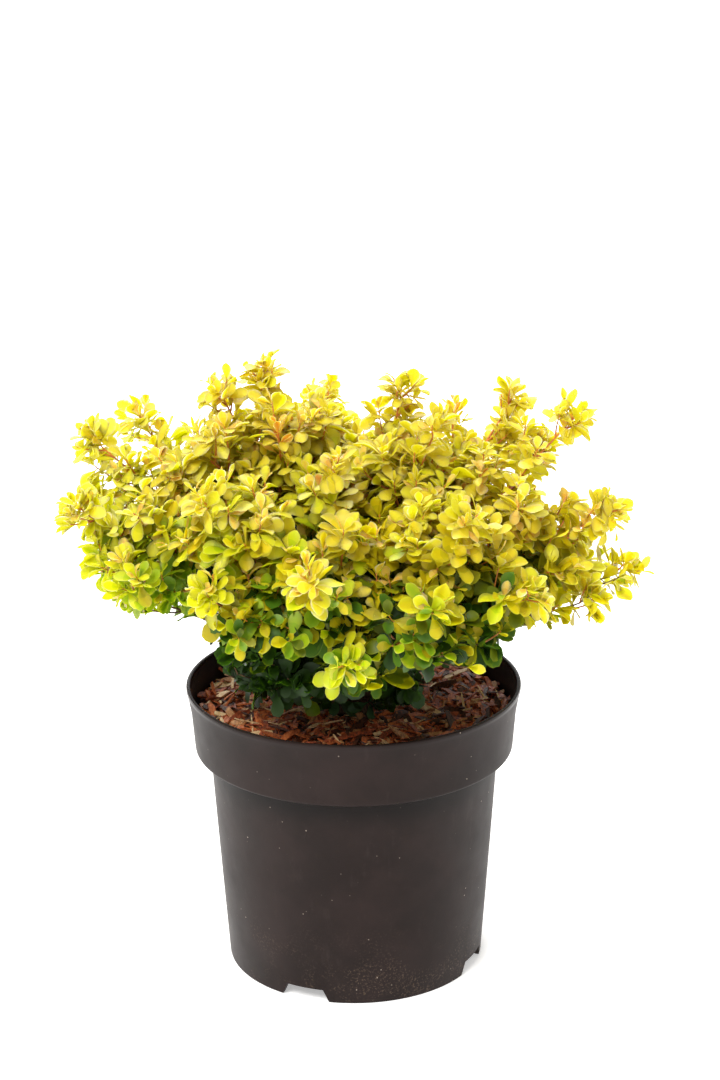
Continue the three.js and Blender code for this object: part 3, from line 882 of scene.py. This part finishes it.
class Foliage:
    """The leaves of one mass, each a row of numbers in the crown's list."""

    def __init__(self, mass, rows, random):
        self.mass, self.rows, self.random = mass, rows, random

    def sunlit(self, root, tip_share):
        """How sunny a leaf stands, from 0 in the heart to 1 at the tips; the leaf's tint follows it, so
        this paints light and shade into the leaves' colours.
        """
        out = np.linalg.norm(root - HEART) / self.mass.reach
        height = (root[2] - POT_HEIGHT) / FOLIAGE_HEIGHT
        at_tip = (TIP_SUN - HIGH_TIP * height) * max(tip_share, -1)
        place = OUTER_SUN * (out - SHADY_OUT) + HIGH_SUN * height**2 - LOW_SUN * height + at_tip
        aside = SIDE_SUN * share_of(abs(root[0]), 50, 130)
        patch = PATCH_SUN * (cloud(*root * 0.022) + 0.5 * cloud(*root * 0.06))
        return place - SHADE + aside + self.mass.tone + patch + self.random.normal(0, SUN_SCATTER)

    def tint_of(self, root, sun):
        """A tint for how sunny a leaf stands: golden to the right and high up, limier to the left and
        below; high up and far out no leaf is dark. The darker tints of shadier leaves are partly the
        leaves' own green and partly painted shade."""
        x, _, z = root
        lime = LIME_CHANCE - LIME_RIGHT * x - LIME_UP * (z - LIME_Z) + LIME_PATCH * cloud(*root * 0.035)
        ladder = LIME_LADDER if self.random.random() < lime else GOLDEN_LADDER
        last = len(ladder) - 1
        bright = max(HIGH_BRIGHT * share_of(z, 250, 300), SIDE_BRIGHT * share_of(abs(x), 60, 115))
        place = (1 - min(max(sun, 0), 1)) * last + self.random.normal(0, TINT_SCATTER)
        return TINT[ladder[int(round(min(max(place, 0), last - bright)))]]

    def special_tint(self, root, sun, length, young):
        """The tint of young tips, of small high leaves and of the shaded ones over the soil, if any."""
        if young:
            return "peach" if self.random.random() < YOUNG_PEACH else "blush"
        if root[2] > PEACH_ABOVE and length < PEACH_LENGTH and self.random.random() < PEACH_SHARE:
            return "peach"
        inside = math.hypot(root[0], root[1]) < SKIRT_RADIUS
        if root[2] < BLUISH_BELOW and sun < BLUISH_SUN and inside:
            return "bluish_green" if self.random.random() < BLUISH_SHARE else "deep_green"
        return None

    def leaf(self, root, tangent, turn, tilt, length, broad, tip_share=1, young=False):
        """A leaf at a turn about its twig and a tilt in degrees from it. It is left out where it hangs
        too low or shows in a gap."""
        normal, tilt = self.random.normal, math.radians(tilt)
        along = tangent * math.cos(tilt) + outward(tangent, turn) * math.sin(tilt)
        if abs(along[2]) < 0.995:
            along = unit(along + UP * normal(-0.04, 0.1))
        facing = tangent - along * np.dot(tangent, along)
        facing = unit(facing) + UP * FACE_UP + unit(root - HEART) * FACE_OUT + normal(0, FACE_SCATTER, 3)
        facing = unit(facing - along * np.dot(facing, along))
        if not clear_below(root + along * length):
            along = unit(along + UP * 0.5)
            facing = unit(facing - along * np.dot(facing, along))
            if not clear_below(root + along * length):
                return
        if in_sky(root) or in_sky(root + along * length * 0.6):
            return
        sun = self.sunlit(root, tip_share)
        tint = self.tint_of(root, sun)
        special = self.special_tint(root, sun, length, young)
        if special:
            tint = TINT[special]
        shape = [normal(*row) for row in LEAF_SHAPES]
        self.rows.append((*root, *along, *facing, length, broad, *shape, tint, sun))

    def tuft(self, carrier, counts, sizes):
        """Leaves at a twig's tip: upright small ones within, larger ones spread wide round them."""
        random = self.random
        count, size = random.integers(*counts), random.uniform(*sizes)
        turn = random.uniform(0, 2 * math.pi)
        tangent = carrier.tangent(1)
        for k in range(count):
            share = k / (count - 1)
            root, _ = carrier.below_tip(TUFT_DOWN + TUFT_DEPTH * share)
            tilt = TUFT_TILT + TUFT_SPREAD * share**0.8 + random.normal(0, TUFT_SCATTER)
            length = size * (TUFT_SIZE + TUFT_GROWTH * share**0.7) * random.uniform(*TUFT_LENGTHS)
            self.leaf(root, tangent, turn, tilt, length, length * random.uniform(*TUFT_WIDTHS))
            turn += GOLDEN_ANGLE + random.normal(0, 0.5)

    def bunches(self, carrier, first, size, spacing=6.0, least=2, most=4):
        """Leaves in bunches at the nodes of a twig, from its tip down to a share of its length."""
        random = self.random
        turn = random.uniform(0, 2 * math.pi)
        down = BUNCH_DOWN
        while down < carrier.length * (1 - first):
            root, tangent = carrier.below_tip(down)
            for k in range(random.integers(least, most + 1)):
                way = turn + k * BUNCH_TURN + random.normal(0, BUNCH_SCATTER)
                tilt = random.uniform(*BUNCH_TILTS)
                length = size * random.uniform(*BUNCH_LENGTHS)
                broad = length * random.uniform(*BUNCH_WIDTHS)
                self.leaf(root, tangent, way, tilt, length, broad, 1 - down / BUNCH_FADE)
            turn += GOLDEN_ANGLE
            down += spacing * random.uniform(*JITTER)

    def young_tip(self, carrier):
        """A fast-growing tip: narrow, upright, mostly peach leaves set singly up the shoot."""
        random = self.random
        turn = random.uniform(0, 2 * math.pi)
        down = 0.5
        while down < min(YOUNG_REACH, carrier.length * YOUNG_SHARE):
            root, tangent = carrier.below_tip(down)
            tilt = YOUNG_TILT + YOUNG_SPREAD * down + random.normal(0, 5)
            length = YOUNG_LEAF * (YOUNG_SIZE + YOUNG_GROWTH * down) * random.uniform(0.85, 1.15)
            young = random.random() < 0.9 - down * 0.02
            self.leaf(root, tangent, turn, tilt, length, length * YOUNG_WIDTH, young=young)
            turn += GOLDEN_ANGLE
            down += random.uniform(*YOUNG_STEPS)


# The crown

# The masses that end in fast-growing spires, and on which carriers: 0 is the leader, the rest are shoots
SPIRES = {
    "left_up": (1, 3),
    "left_top": (1, 3),
    "top_left": (2, 4),
    "top": (2, 3),
    "mid_top": (0, 2, 3),
    "centre_top": (1, 3),
    "crown": (0, 2),
    "crown_right": (1, 4),
    "right_top": (1, 2),
    "right_high": (1, 2, 3),
    "front_left_high": (2,),
}
FEWEST_LEAVES = 3  # a finer twig that keeps fewer leaves is left out
FEWEST_CARRIED = 6  # and a leader or shoot that does
SPROUTS = 9
SPROUT_FOOT = 9  # above the soil
SPROUT_REACHES, SPROUT_GAIN = (12, 22), 20  # every second one is the gain longer
SPROUT_RISES = (8, 30)  # degrees
BROWN_BELOW = 235  # shaded wood lower than this is brown
SKY_SHARES = (0.6, 0.8)  # a side shoot shows in no gap here, nor at its tip
WOOD_RANGE = (0.04, 0.72)  # the shares of a leader that its brown wood takes up
NEW_WOOD = 0.68  # the share where its fine wood starts
TWIG_SEED_STEP = 7
BARE_FOOT = 0.16  # the bare share of a leader without a bough
BARE_JOINT = 0.12  # and of a side shoot
BARE_TWIG = 0.2
BARE_SPROUT = 0.15
CARRIER_LEAF, TWIG_LEAF, SPROUT_LEAF = 16, 15, 14  # the leaves' length in bunches
TWIG_SHAPE = (0.6, 0.35, 6, 4)  # radii at foot and tip, stations and sides
CARRIER_SHAPE = (0.95, 0.4, 14, 5)
SPROUT_SHAPE = (0.8, 0.4, 7, 5)


def cane_radius(mass):
    """As thick at the stump as its neighbours allow."""
    others = [other.direction for other in masses if other is not mass]
    half = min(math.acos(min(1, np.dot(mass.direction, d))) for d in others) / 2
    return min(max((STUMP_RADIUS + 4) * math.sin(half) - GAP, BOUGH_MIN_RADIUS), BOUGH_MAX_RADIUS)


def crest_twigs(carrier, count, random):
    """Short twigs in a ring below a leader's tip, which make its tuft full."""
    twigs = []
    turn = random.uniform(0, 2 * math.pi)
    for k in range(count):
        start, tangent = carrier.below_tip(CREST_DOWN + CREST_STEP * k)
        out = outward(tangent, turn)
        reach = random.uniform(*CREST_REACHES) + CREST_GAIN * k
        tip = start + reach * unit(tangent + CREST_SPREAD * out)
        twigs.append(bowed(start, (start + tip) / 2 + out * CREST_BOW * reach, tip))
        turn += GOLDEN_ANGLE
    return twigs


def carried_on(carrier, random):
    """A carrier with a fine tip that goes on from its end and turns up a little."""
    way = unit(carrier.tangent(1) + UP * TIP_RISE + random.normal(0, TIP_SCATTER, 3))
    further = carrier.spots[-1] + np.outer([TIP_TWIG / 2, TIP_TWIG], way)
    return Shoot(np.concatenate([carrier.spots, further]))


def kept_clear(carrier):
    """A carrier cut back to where its tip shows in no gap and hangs too low nowhere."""
    share = 1.0
    while share > SHORTEST_CUT and not good_end(carrier.at(share)):
        share -= CUT_STEP
    return carrier if share == 1 else carrier.cut_at(share)


def wood(shoot, thick, thin, stops, sides, first=0):
    """A tapering tube up a shoot from a share of its length on."""
    spots = [shoot.at(share) for share in np.linspace(first, 1, stops)]
    return tube(spots, np.linspace(thick, thin, stops), sides)


def grown(mass, rows, old_wood, new_wood):
    """A mass's leader, shoots and finer twigs with their leaves."""

    def add_wood(shoot, *shape):
        heap = new_wood if shoot.at(0.7)[2] > BROWN_BELOW else old_wood
        heap.add(*wood(shoot, *shape))

    random = np.random.default_rng(FIRST_SEED + TWIG_SEED_STEP * mass.index)
    foliage = Foliage(mass, rows, random)
    radius, leader = cane_radius(mass), mass.leader
    shares = np.linspace(*WOOD_RANGE, 26)
    radii = np.interp(shares, [WOOD_RANGE[0], BOUGH_SHARE, WOOD_RANGE[1]], [radius, radius * 0.7, 1])
    wobble = 1 + 0.08 * np.sin(shares * 60 + mass.index)
    old_wood.add(*tube([leader.at(s) for s in shares], radii * wobble, 9))

    shoots = [
        shoot
        for shoot in side_shoots(mass)
        if good_end(shoot.at(1)) and not any(in_sky(shoot.at(share)) for share in (*SKY_SHARES, 1))
    ]
    tips.extend([leader.at(1), *(shoot.at(1) for shoot in shoots)])
    first = BOUGH_SHARE - 0.08 if mass.bough else BARE_FOOT
    carriers = [(leader, first), *((shoot, BARE_JOINT) for shoot in shoots)]
    carriers = [(kept_clear(carried_on(carrier, random)), start) for carrier, start in carriers]
    twigs = [twig for carrier, start in carriers for twig in finer_twigs(mass, carrier, start, random)]

    high = mass.reach > HIGH_REACH and mass.direction[1] > -0.3
    for twig in crest_twigs(carriers[0][0], HIGH_CREST if high else LOW_CREST, random):
        if good_end(twig.at(1)):
            foliage.tuft(twig, *CREST_TUFT)
            add_wood(twig, *TWIG_SHAPE)
    for order, (carrier, start) in enumerate(carriers):
        bare = len(rows)
        if order in SPIRES.get(mass.name, ()):
            foliage.young_tip(carrier)
        else:
            foliage.tuft(carrier, *CARRIER_TUFT)
        foliage.bunches(carrier, start, CARRIER_LEAF)
        if len(rows) - bare < FEWEST_CARRIED:
            del rows[bare:]
        else:
            add_wood(carrier, *CARRIER_SHAPE, 0 if order else NEW_WOOD)
    least = 1 if mass.elevation < 45 and not mass.broad else 2
    for twig in twigs:
        bare = len(rows)
        foliage.tuft(twig, *TWIG_TUFT)
        foliage.bunches(twig, BARE_TWIG, TWIG_LEAF, 7.5, least, least + 1)
        if len(rows) - bare < FEWEST_LEAVES:
            del rows[bare:]
        else:
            add_wood(twig, *TWIG_SHAPE)


def sprouts(rows, old_wood):
    """Low shoots from the stump's foot, whose shaded leaves hide it."""
    random = np.random.default_rng(FIRST_SEED)
    foliage = Foliage(next(mass for mass in masses if mass.name == "front_low"), rows, random)
    for k in range(SPROUTS):
        azimuth = (k + 0.5) * 360 / SPROUTS + random.normal(0, 8)
        start = np.array([0, 0, SOIL_Z + SPROUT_FOOT]) + STUMP_RADIUS * heading(azimuth, 0)
        reach = random.uniform(*SPROUT_REACHES) + (SPROUT_GAIN if k % 2 else 0)
        tip = start + reach * heading(azimuth, random.uniform(*SPROUT_RISES))
        twig = bowed(start, (start + tip) / 2 + 0.15 * reach * UP, tip)
        old_wood.add(*wood(twig, *SPROUT_SHAPE))
        foliage.tuft(twig, *SPROUT_TUFT)
        foliage.bunches(twig, BARE_SPROUT, SPROUT_LEAF, 6.5, 1, 2)


def crown():
    rows, old_wood, new_wood = [], Heap(), Heap()
    for mass in masses:
        grown(mass, rows, old_wood, new_wood)
    sprouts(rows, old_wood)
    rows = np.array(rows)
    for index, (name, *colours) in enumerate(TINTS):
        mine = rows[rows[:, TINT_COLUMN] == index]
        sunny = mine[:, SUN_COLUMN] > FULL_BLADE_SUN
        heap = Heap()
        for part, (template, faces, slots) in ((mine[sunny], FULL_BLADE), (mine[~sunny], PLAIN_BLADE)):
            if len(part):
                heap.add(leaf_spots(template, part), faces, slots)
        through = float(np.interp(sum(colours[0]), SHEER, SHEER_SHARES))
        parts = zip(("leaf_", "margin_", "base_"), colours)
        finishes = [leaf_skin(part + name, colour, through) for part, colour in parts]
        finished(heap.piece("leaves_" + name, finishes, 60), FOLIAGE_NODES)
    canes = old_wood.piece("canes", [bark("cane_bark", (74, 52, 36), (132, 100, 70))], 50)
    finished(canes, BOUGH_NODES)
    finished(new_wood.piece("twigs", [twig_bark()], 60), FOLIAGE_NODES)


# Stump, soil and pot


def ring_up(name, sides, profile):
    """A closed shell turned about the Z axis: a ring that is extruded and resized up its profile of
    [radius, z], with both ends filled."""
    deselect()
    radius, z = profile[0]
    bpy.ops.mesh.primitive_circle_add(vertices=sides, radius=radius * MM, location=(0, 0, z * MM))
    made = bpy.context.object
    made.name = made.data.name = name
    bpy.ops.object.transform_apply(location=True, rotation=True, scale=True)
    bpy.ops.object.mode_set(mode="EDIT")
    bpy.ops.mesh.select_all(action="SELECT")
    bpy.ops.mesh.edge_face_add()
    bpy.ops.mesh.select_mode(type="EDGE")
    for next_radius, next_z in profile[1:]:
        bpy.ops.mesh.extrude_edges_move(TRANSFORM_OT_translate={"value": (0, 0, (next_z - z) * MM)})
        share = next_radius / radius
        bpy.ops.transform.resize(value=(share, share, 1), center_override=(0, 0, 0))
        radius, z = next_radius, next_z
    bpy.ops.mesh.edge_face_add()
    bpy.ops.mesh.select_all(action="SELECT")
    bpy.ops.mesh.normals_make_consistent(inside=False)
    bpy.ops.object.mode_set(mode="OBJECT")
    return made


def cut(piece, cutter):
    """Takes a cutter's shape out of a piece."""
    pick(piece)
    modifier = piece.modifiers.new("cut", "BOOLEAN")
    modifier.operation, modifier.object, modifier.solver = "DIFFERENCE", cutter, "EXACT"
    bpy.ops.object.modifier_apply(modifier=modifier.name)
    bpy.data.objects.remove(cutter)


def pot():
    """A thin shell with a notched foot ring, a raised base with drain holes and a wide collar."""
    ring_inside = FOOT_RADIUS - FOOT_RING_WIDTH
    slope = (BODY_TOP_RADIUS - FOOT_RADIUS) / BODY_TOP_Z
    lift = BASE_LIFT + BASE_THICKNESS
    inside_foot = FOOT_RADIUS + slope * lift - WALL
    rim = [(-1.2, -7), (-0.3, -3.2), (0, -2.2), (0.02, -1.2), (-0.25, -0.4)]
    rim += [(-0.8, 0), (-1.7, -0.1), (-2.3, -0.6), (-2.6, -1.6)]
    parts = [
        (BASE_CENTRE, BASE_LIFT, [(0, 0)]),
        (ring_inside, 0, [(-1.5, BASE_LIFT), (0, BASE_LIFT - 1.5), (0, 0.5), (0.6, 0)]),
        (FOOT_RADIUS, 0, [(-0.9, 0), (-0.2, 0.3), (0, 1.1), (slope * 40, 40), (slope * 80, 80)]),
        (BODY_TOP_RADIUS, BODY_TOP_Z, [(-0.1, -1), (0.1, -0.1), (1, 0.5)]),
        (COLLAR_FOOT_RADIUS, COLLAR_FOOT_Z, [(-2.2, -1.7), (-1.2, -1.4), (-0.5, -1), (-0.1, -0.3)]),
        (COLLAR_FOOT_RADIUS, COLLAR_FOOT_Z, [(0, 0.5), (0.2, 3)]),
        (COLLAR_TOP_RADIUS, COLLAR_TOP_Z, [(-0.1, 0)]),
        (RIM_RADIUS, POT_HEIGHT, rim),
        (COLLAR_TOP_RADIUS - WALL, COLLAR_TOP_Z, [(0, 0)]),
        (COLLAR_FOOT_RADIUS - WALL, COLLAR_FOOT_Z, [(0, 1)]),
        (BODY_TOP_RADIUS - WALL, BODY_TOP_Z, [(0, 1)]),
        (inside_foot, lift, [(0, 1.5), (-1.5, 0)]),
        (BASE_CENTRE, lift, [(0, 0)]),
    ]
    profile = [(radius + out, z + up) for radius, z, steps in parts for out, up in steps]
    made = ring_up("nursery_pot", POT_SIDES, profile)
    for k in range(NOTCHES):
        deselect()
        bpy.ops.mesh.primitive_cube_add(size=1)
        cutter = bpy.context.object
        for vertex in cutter.data.vertices:
            low = vertex.co.z < 0
            half = (NOTCH_BOTTOM_WIDTH / 2 + 1 if low else NOTCH_TOP_WIDTH / 2) * MM
            vertex.co.x = math.copysign(half, vertex.co.x)
            vertex.co.y = (-FOOT_RADIUS + math.copysign(CUTTER_REACH, vertex.co.y)) * MM
            vertex.co.z = (-CUTTER_BELOW if low else NOTCH_HEIGHT) * MM
        cutter.data.transform(Matrix.Rotation(math.radians(FIRST_NOTCH + k * 360 / NOTCHES), 4, "Z"))
        cut(made, cutter)
    for k in range(DRAIN_HOLES):
        x, y = polar(DRAIN_CIRCLE, 2 * math.pi * (k + 0.5) / DRAIN_HOLES)
        deselect()
        bpy.ops.mesh.primitive_cylinder_add(
            vertices=32,
            radius=DRAIN_RADIUS * MM,
            depth=3 * BASE_THICKNESS * MM,
            location=(x * MM, y * MM, (BASE_LIFT + BASE_THICKNESS / 2) * MM),
        )
        cut(made, bpy.context.object)
    dressed(made, pot_plastic(), 32, ["pot"])


def soil_height(x, y):
    """The soil's top, with swells and crumbs."""
    swell = 1.1 * cloud(x / 24, y / 24, 3.1) + 0.9 * cloud(x / 9, y / 9, 7.7)
    crumbs = 0.8 * cloud(x / 3, y / 3, 1.3)
    return SOIL_Z - 0.8 + swell * 1.4 + crumbs


def soil():
    wall = COLLAR_TOP_RADIUS - WALL
    edge = wall - GAP - 0.4
    floor = [
        (FOOT_RADIUS - WALL - 4, SOIL_FOOT),
        (BODY_TOP_RADIUS - WALL - GAP, BODY_TOP_Z),
        (edge - 1.6, COLLAR_FOOT_Z + 2),
    ]
    turns = 2 * math.pi * np.arange(SOIL_SIDES) / SOIL_SIDES
    rings = [[(*polar(radius, turn), z) for turn in turns] for radius, z in floor]
    for radius in np.linspace(edge, SOIL_CENTRE, SOIL_RINGS):
        ring = [polar(radius, turn) for turn in turns]
        rings.append([(x, y, soil_height(x, y)) for x, y in ring])
    spots = [spot for ring in rings for spot in ring] + [(0, 0, SOIL_FOOT), (0, 0, SOIL_Z)]
    low, high, last = len(spots) - 2, len(spots) - 1, (len(rings) - 1) * SOIL_SIDES
    faces = []
    for k in range(SOIL_SIDES):
        ahead = (k + 1) % SOIL_SIDES
        faces += [(low, ahead, k), (high, last + k, last + ahead)]
        for i in range(0, last, SOIL_SIDES):
            faces.append((i + k, i + ahead, i + ahead + SOIL_SIDES, i + k + SOIL_SIDES))
    heap = Heap()
    heap.add(spots, faces)
    finished(heap.piece("soil_bed", [damp_soil()], 60), ["soil"])


def splinter(random, long, broad, thick):
    """One torn piece of bark: a bent, twisted strip with ragged ends."""
    spots = []
    last = SPLINTER_STATIONS - 1
    twist, bow = random.normal(0, 0.35), random.normal(0, 0.05) * long
    for k in range(SPLINTER_STATIONS):
        share = k / last
        waist = 0.35 + 0.65 * math.sin(math.pi * min(max(share, 0.1), 0.9))
        half = broad / 2 * waist * random.uniform(0.75, 1.2)
        height = thick / 2 * random.uniform(0.7, 1.2) * (0.5 if k in (0, last) else 1)
        turn = twist * (share - 0.5)
        c, s = math.cos(turn), math.sin(turn)
        x = long * (share - 0.5) + random.normal(0, 0.03) * long
        y, z = random.normal(0, 0.06) * broad, bow * (1 - 4 * (share - 0.5) ** 2)
        for side, level in ((-1, -1), (1, -1), (1, 1), (-1, 1)):
            dy, dz = side * half, level * height + random.normal(0, 0.1) * height
            spots.append((x, y + dy * c - dz * s, z + dy * s + dz * c))
    faces = [(0, 1, 2, 3), (4 * last + 3, 4 * last + 2, 4 * last + 1, 4 * last)]
    for a in range(0, 4 * last, 4):
        faces += [(a + n, a + n + 4, a + (n + 1) % 4 + 4, a + (n + 1) % 4) for n in range(4)]
    return spots, faces


# The kinds of bark chip: name, two colours and share; the last one is also the straws'
MULCH = [
    ("rust", (158, 66, 30), (232, 136, 78), 0.28),
    ("red_brown", (100, 42, 22), (196, 98, 56), 0.3),
    ("dark", (40, 22, 14), (106, 58, 36), 0.26),
    ("brown", (146, 88, 50), (226, 166, 108), 0.11),
    ("tan", (214, 168, 112), (250, 220, 172), 0.06),
]
MULCH_SEED = 41
CHIPS = 3000
STRAWS = 0.04  # this share of them are straws
STRAW_LENGTHS, STRAW_WIDTHS = (14, 32), (0.8, 1.7)
CHIP_LENGTHS, SHORTEST_CHIP, LONGEST_CHIP = (2.2, 4.0), 3, 34  # the first are a gamma draw's
CHIP_SHAPES, WIDEST_CHIP = (0.1, 0.38), 5  # width as a share of length
CHIP_THICKNESSES = (0.5, 1.5)
CHIP_LIFTS = (0.2, 2.2)
CHIP_TILT, CHIP_ROLL = 0.22, 0.35
WALL_BAND = 78  # chips further out than this lie along the wall
SPLINTER_STATIONS = 5


def mulch_layer():
    """Torn bark and straws on the soil, kept inside the wall and laid along it at the edge."""
    random = np.random.default_rng(MULCH_SEED)
    heaps = [Heap() for _ in MULCH]
    shares = np.array([row[3] for row in MULCH])
    wall = COLLAR_TOP_RADIUS - WALL
    for _ in range(CHIPS):
        radius = (wall - 3) * math.sqrt(random.uniform(0.03, 1))
        turn = random.uniform(0, 2 * math.pi)
        straw = random.random() < STRAWS
        room = 2.0 * math.sqrt(max((wall - 0.8) ** 2 - radius**2, 9))
        if straw:
            long = min(random.uniform(*STRAW_LENGTHS), room)
            broad = random.uniform(*STRAW_WIDTHS)
        else:
            long = min(random.gamma(*CHIP_LENGTHS) + SHORTEST_CHIP, LONGEST_CHIP, room)
            broad = min(long * random.uniform(*CHIP_SHAPES), WIDEST_CHIP)
        spots, faces = splinter(random, long, broad, random.uniform(*CHIP_THICKNESSES))
        x, y = polar(radius, turn)
        if radius > WALL_BAND:
            way = turn + math.pi / 2 + random.normal(0, 0.5)
        else:
            way = random.uniform(0, math.pi)
        tilt, roll = random.normal(0, CHIP_TILT), random.normal(0, CHIP_ROLL)
        lie = Matrix.Rotation(way, 3, "Z") @ Matrix.Rotation(tilt, 3, "Y")
        lie = np.array(lie @ Matrix.Rotation(roll, 3, "X"))
        spots = np.array(spots) @ lie.T + (x, y, soil_height(x, y) + random.uniform(*CHIP_LIFTS))
        reach = np.hypot(spots[:, 0], spots[:, 1])
        spots[:, :2] *= np.minimum(1, (wall - 0.7) / np.maximum(reach, 1))[:, None]
        kind = len(MULCH) - 1 if straw else random.choice(len(MULCH), p=shares / shares.sum())
        heaps[kind].add(spots, faces)
    for heap, (name, deep, pale, _) in zip(heaps, MULCH):
        finished(heap.piece("mulch_" + name, [mulch("mulch_" + name, deep, pale)], 30))


def stump():
    """A short knotty stump with root flares, its foot sunk a little into the soil."""
    foot = SOIL_Z - 2
    profile = [
        (STUMP_FOOT_RADIUS, foot),
        (STUMP_RADIUS + 1.6, foot + 6.5),
        (STUMP_RADIUS, foot + 13),
        (STUMP_RADIUS, foot + 23),
        (STUMP_RADIUS * 0.72, foot + 29.5),
        (STUMP_RADIUS * 0.3, foot + STUMP_HEIGHT + 2),
    ]
    made = ring_up("stump", STUMP_SIDES, profile)
    for vertex in made.data.vertices:
        x, y, z = vertex.co / MM
        rise = max(0, z - foot)
        flare = 1 + ROOT_FLARE * math.cos(ROOT_FLARES * math.atan2(y, x)) * max(0, 1 - rise / 13)
        vertex.co.x = (x * flare + STUMP_LEAN * (rise - STUMP_HEIGHT / 2)) * MM
        vertex.co.y = y * flare * MM
    pick(made)
    fine = made.modifiers.new("fine", "SUBSURF")
    fine.levels = fine.render_levels = 3
    bpy.ops.object.modifier_apply(modifier=fine.name)
    for vertex in made.data.vertices:
        x, y, z = vertex.co / MM
        turn = math.atan2(y, x)
        ridges = cloud(*polar(3.2, turn), z / 16) + 0.5 * cloud(*polar(8, turn), z / 9)
        vertex.co.x *= 1 + STUMP_RIDGES * ridges
        vertex.co.y *= 1 + STUMP_RIDGES * ridges
    dressed(made, bark("stump_bark", (58, 42, 30), (122, 96, 70)), 60, ["stem"])


# Stage

# The lamps: name, kind, place in metres, the setting of their extent, its value, and power
LAMPS = [
    ("key", "SUN", (-0.8, -1.3, 2.2), "angle", math.radians(30), 2.7),
    ("back", "AREA", (-0.3, 1.3, 1.6), "size", 1.2, 36),
]
LAMP_TARGET = (0, 0, 0.22)
FLOOR_SIZE = 40
FLOOR_GLOW = 0.4
WORLD_LIGHT = 0.58
CAMERA_LENS, SENSOR_WIDTH = 90, 36
CAMERA_DOWN = 18.8
CAMERA_ROLL = -0.4


def stage():
    """A white floor and world, a soft sun from the front left, a lamp behind and the camera."""
    deselect()
    bpy.ops.mesh.primitive_plane_add(size=FLOOR_SIZE)
    floor = bpy.context.object
    floor.name = "floor"
    white = Finish(
        "floor",
        (250, 249, 247),
        0.9,
        Specular_IOR_Level=0.1,
        Emission_Color=(1, 1, 1, 1),
        Emission_Strength=FLOOR_GLOW,
    )
    floor.data.materials.append(white.material)
    scene = bpy.context.scene
    scene.world = bpy.data.worlds.new("studio")
    scene.world.use_nodes = True
    background = scene.world.node_tree.nodes["Background"]
    background.inputs["Color"].default_value = (1.0, 0.99, 0.97, 1)
    background.inputs["Strength"].default_value = WORLD_LIGHT
    for name, kind, place, extent, size, power in LAMPS:
        data = bpy.data.lights.new(name, kind)
        data.energy = power
        setattr(data, extent, size)
        lamp = bpy.data.objects.new(name, data)
        aim = (Vector(place) - Vector(LAMP_TARGET)).to_track_quat("Z", "Y").to_matrix().to_4x4()
        lamp.matrix_world = Matrix.Translation(place) @ aim
        scene.collection.objects.link(lamp)
    data = bpy.data.cameras.new("camera")
    data.lens, data.sensor_width = CAMERA_LENS, SENSOR_WIDTH
    camera = bpy.data.objects.new("camera", data)
    camera.matrix_world = (
        Matrix.Translation(EYE * MM)
        @ Matrix.Rotation(math.radians(90 - CAMERA_DOWN), 4, "X")
        @ Matrix.Rotation(math.radians(CAMERA_ROLL), 4, "Z")
    )
    scene.collection.objects.link(camera)
    scene.camera = camera
    scene.view_settings.view_transform = "Standard"


stage()
pot()
soil()
mulch_layer()
stump()
crown()
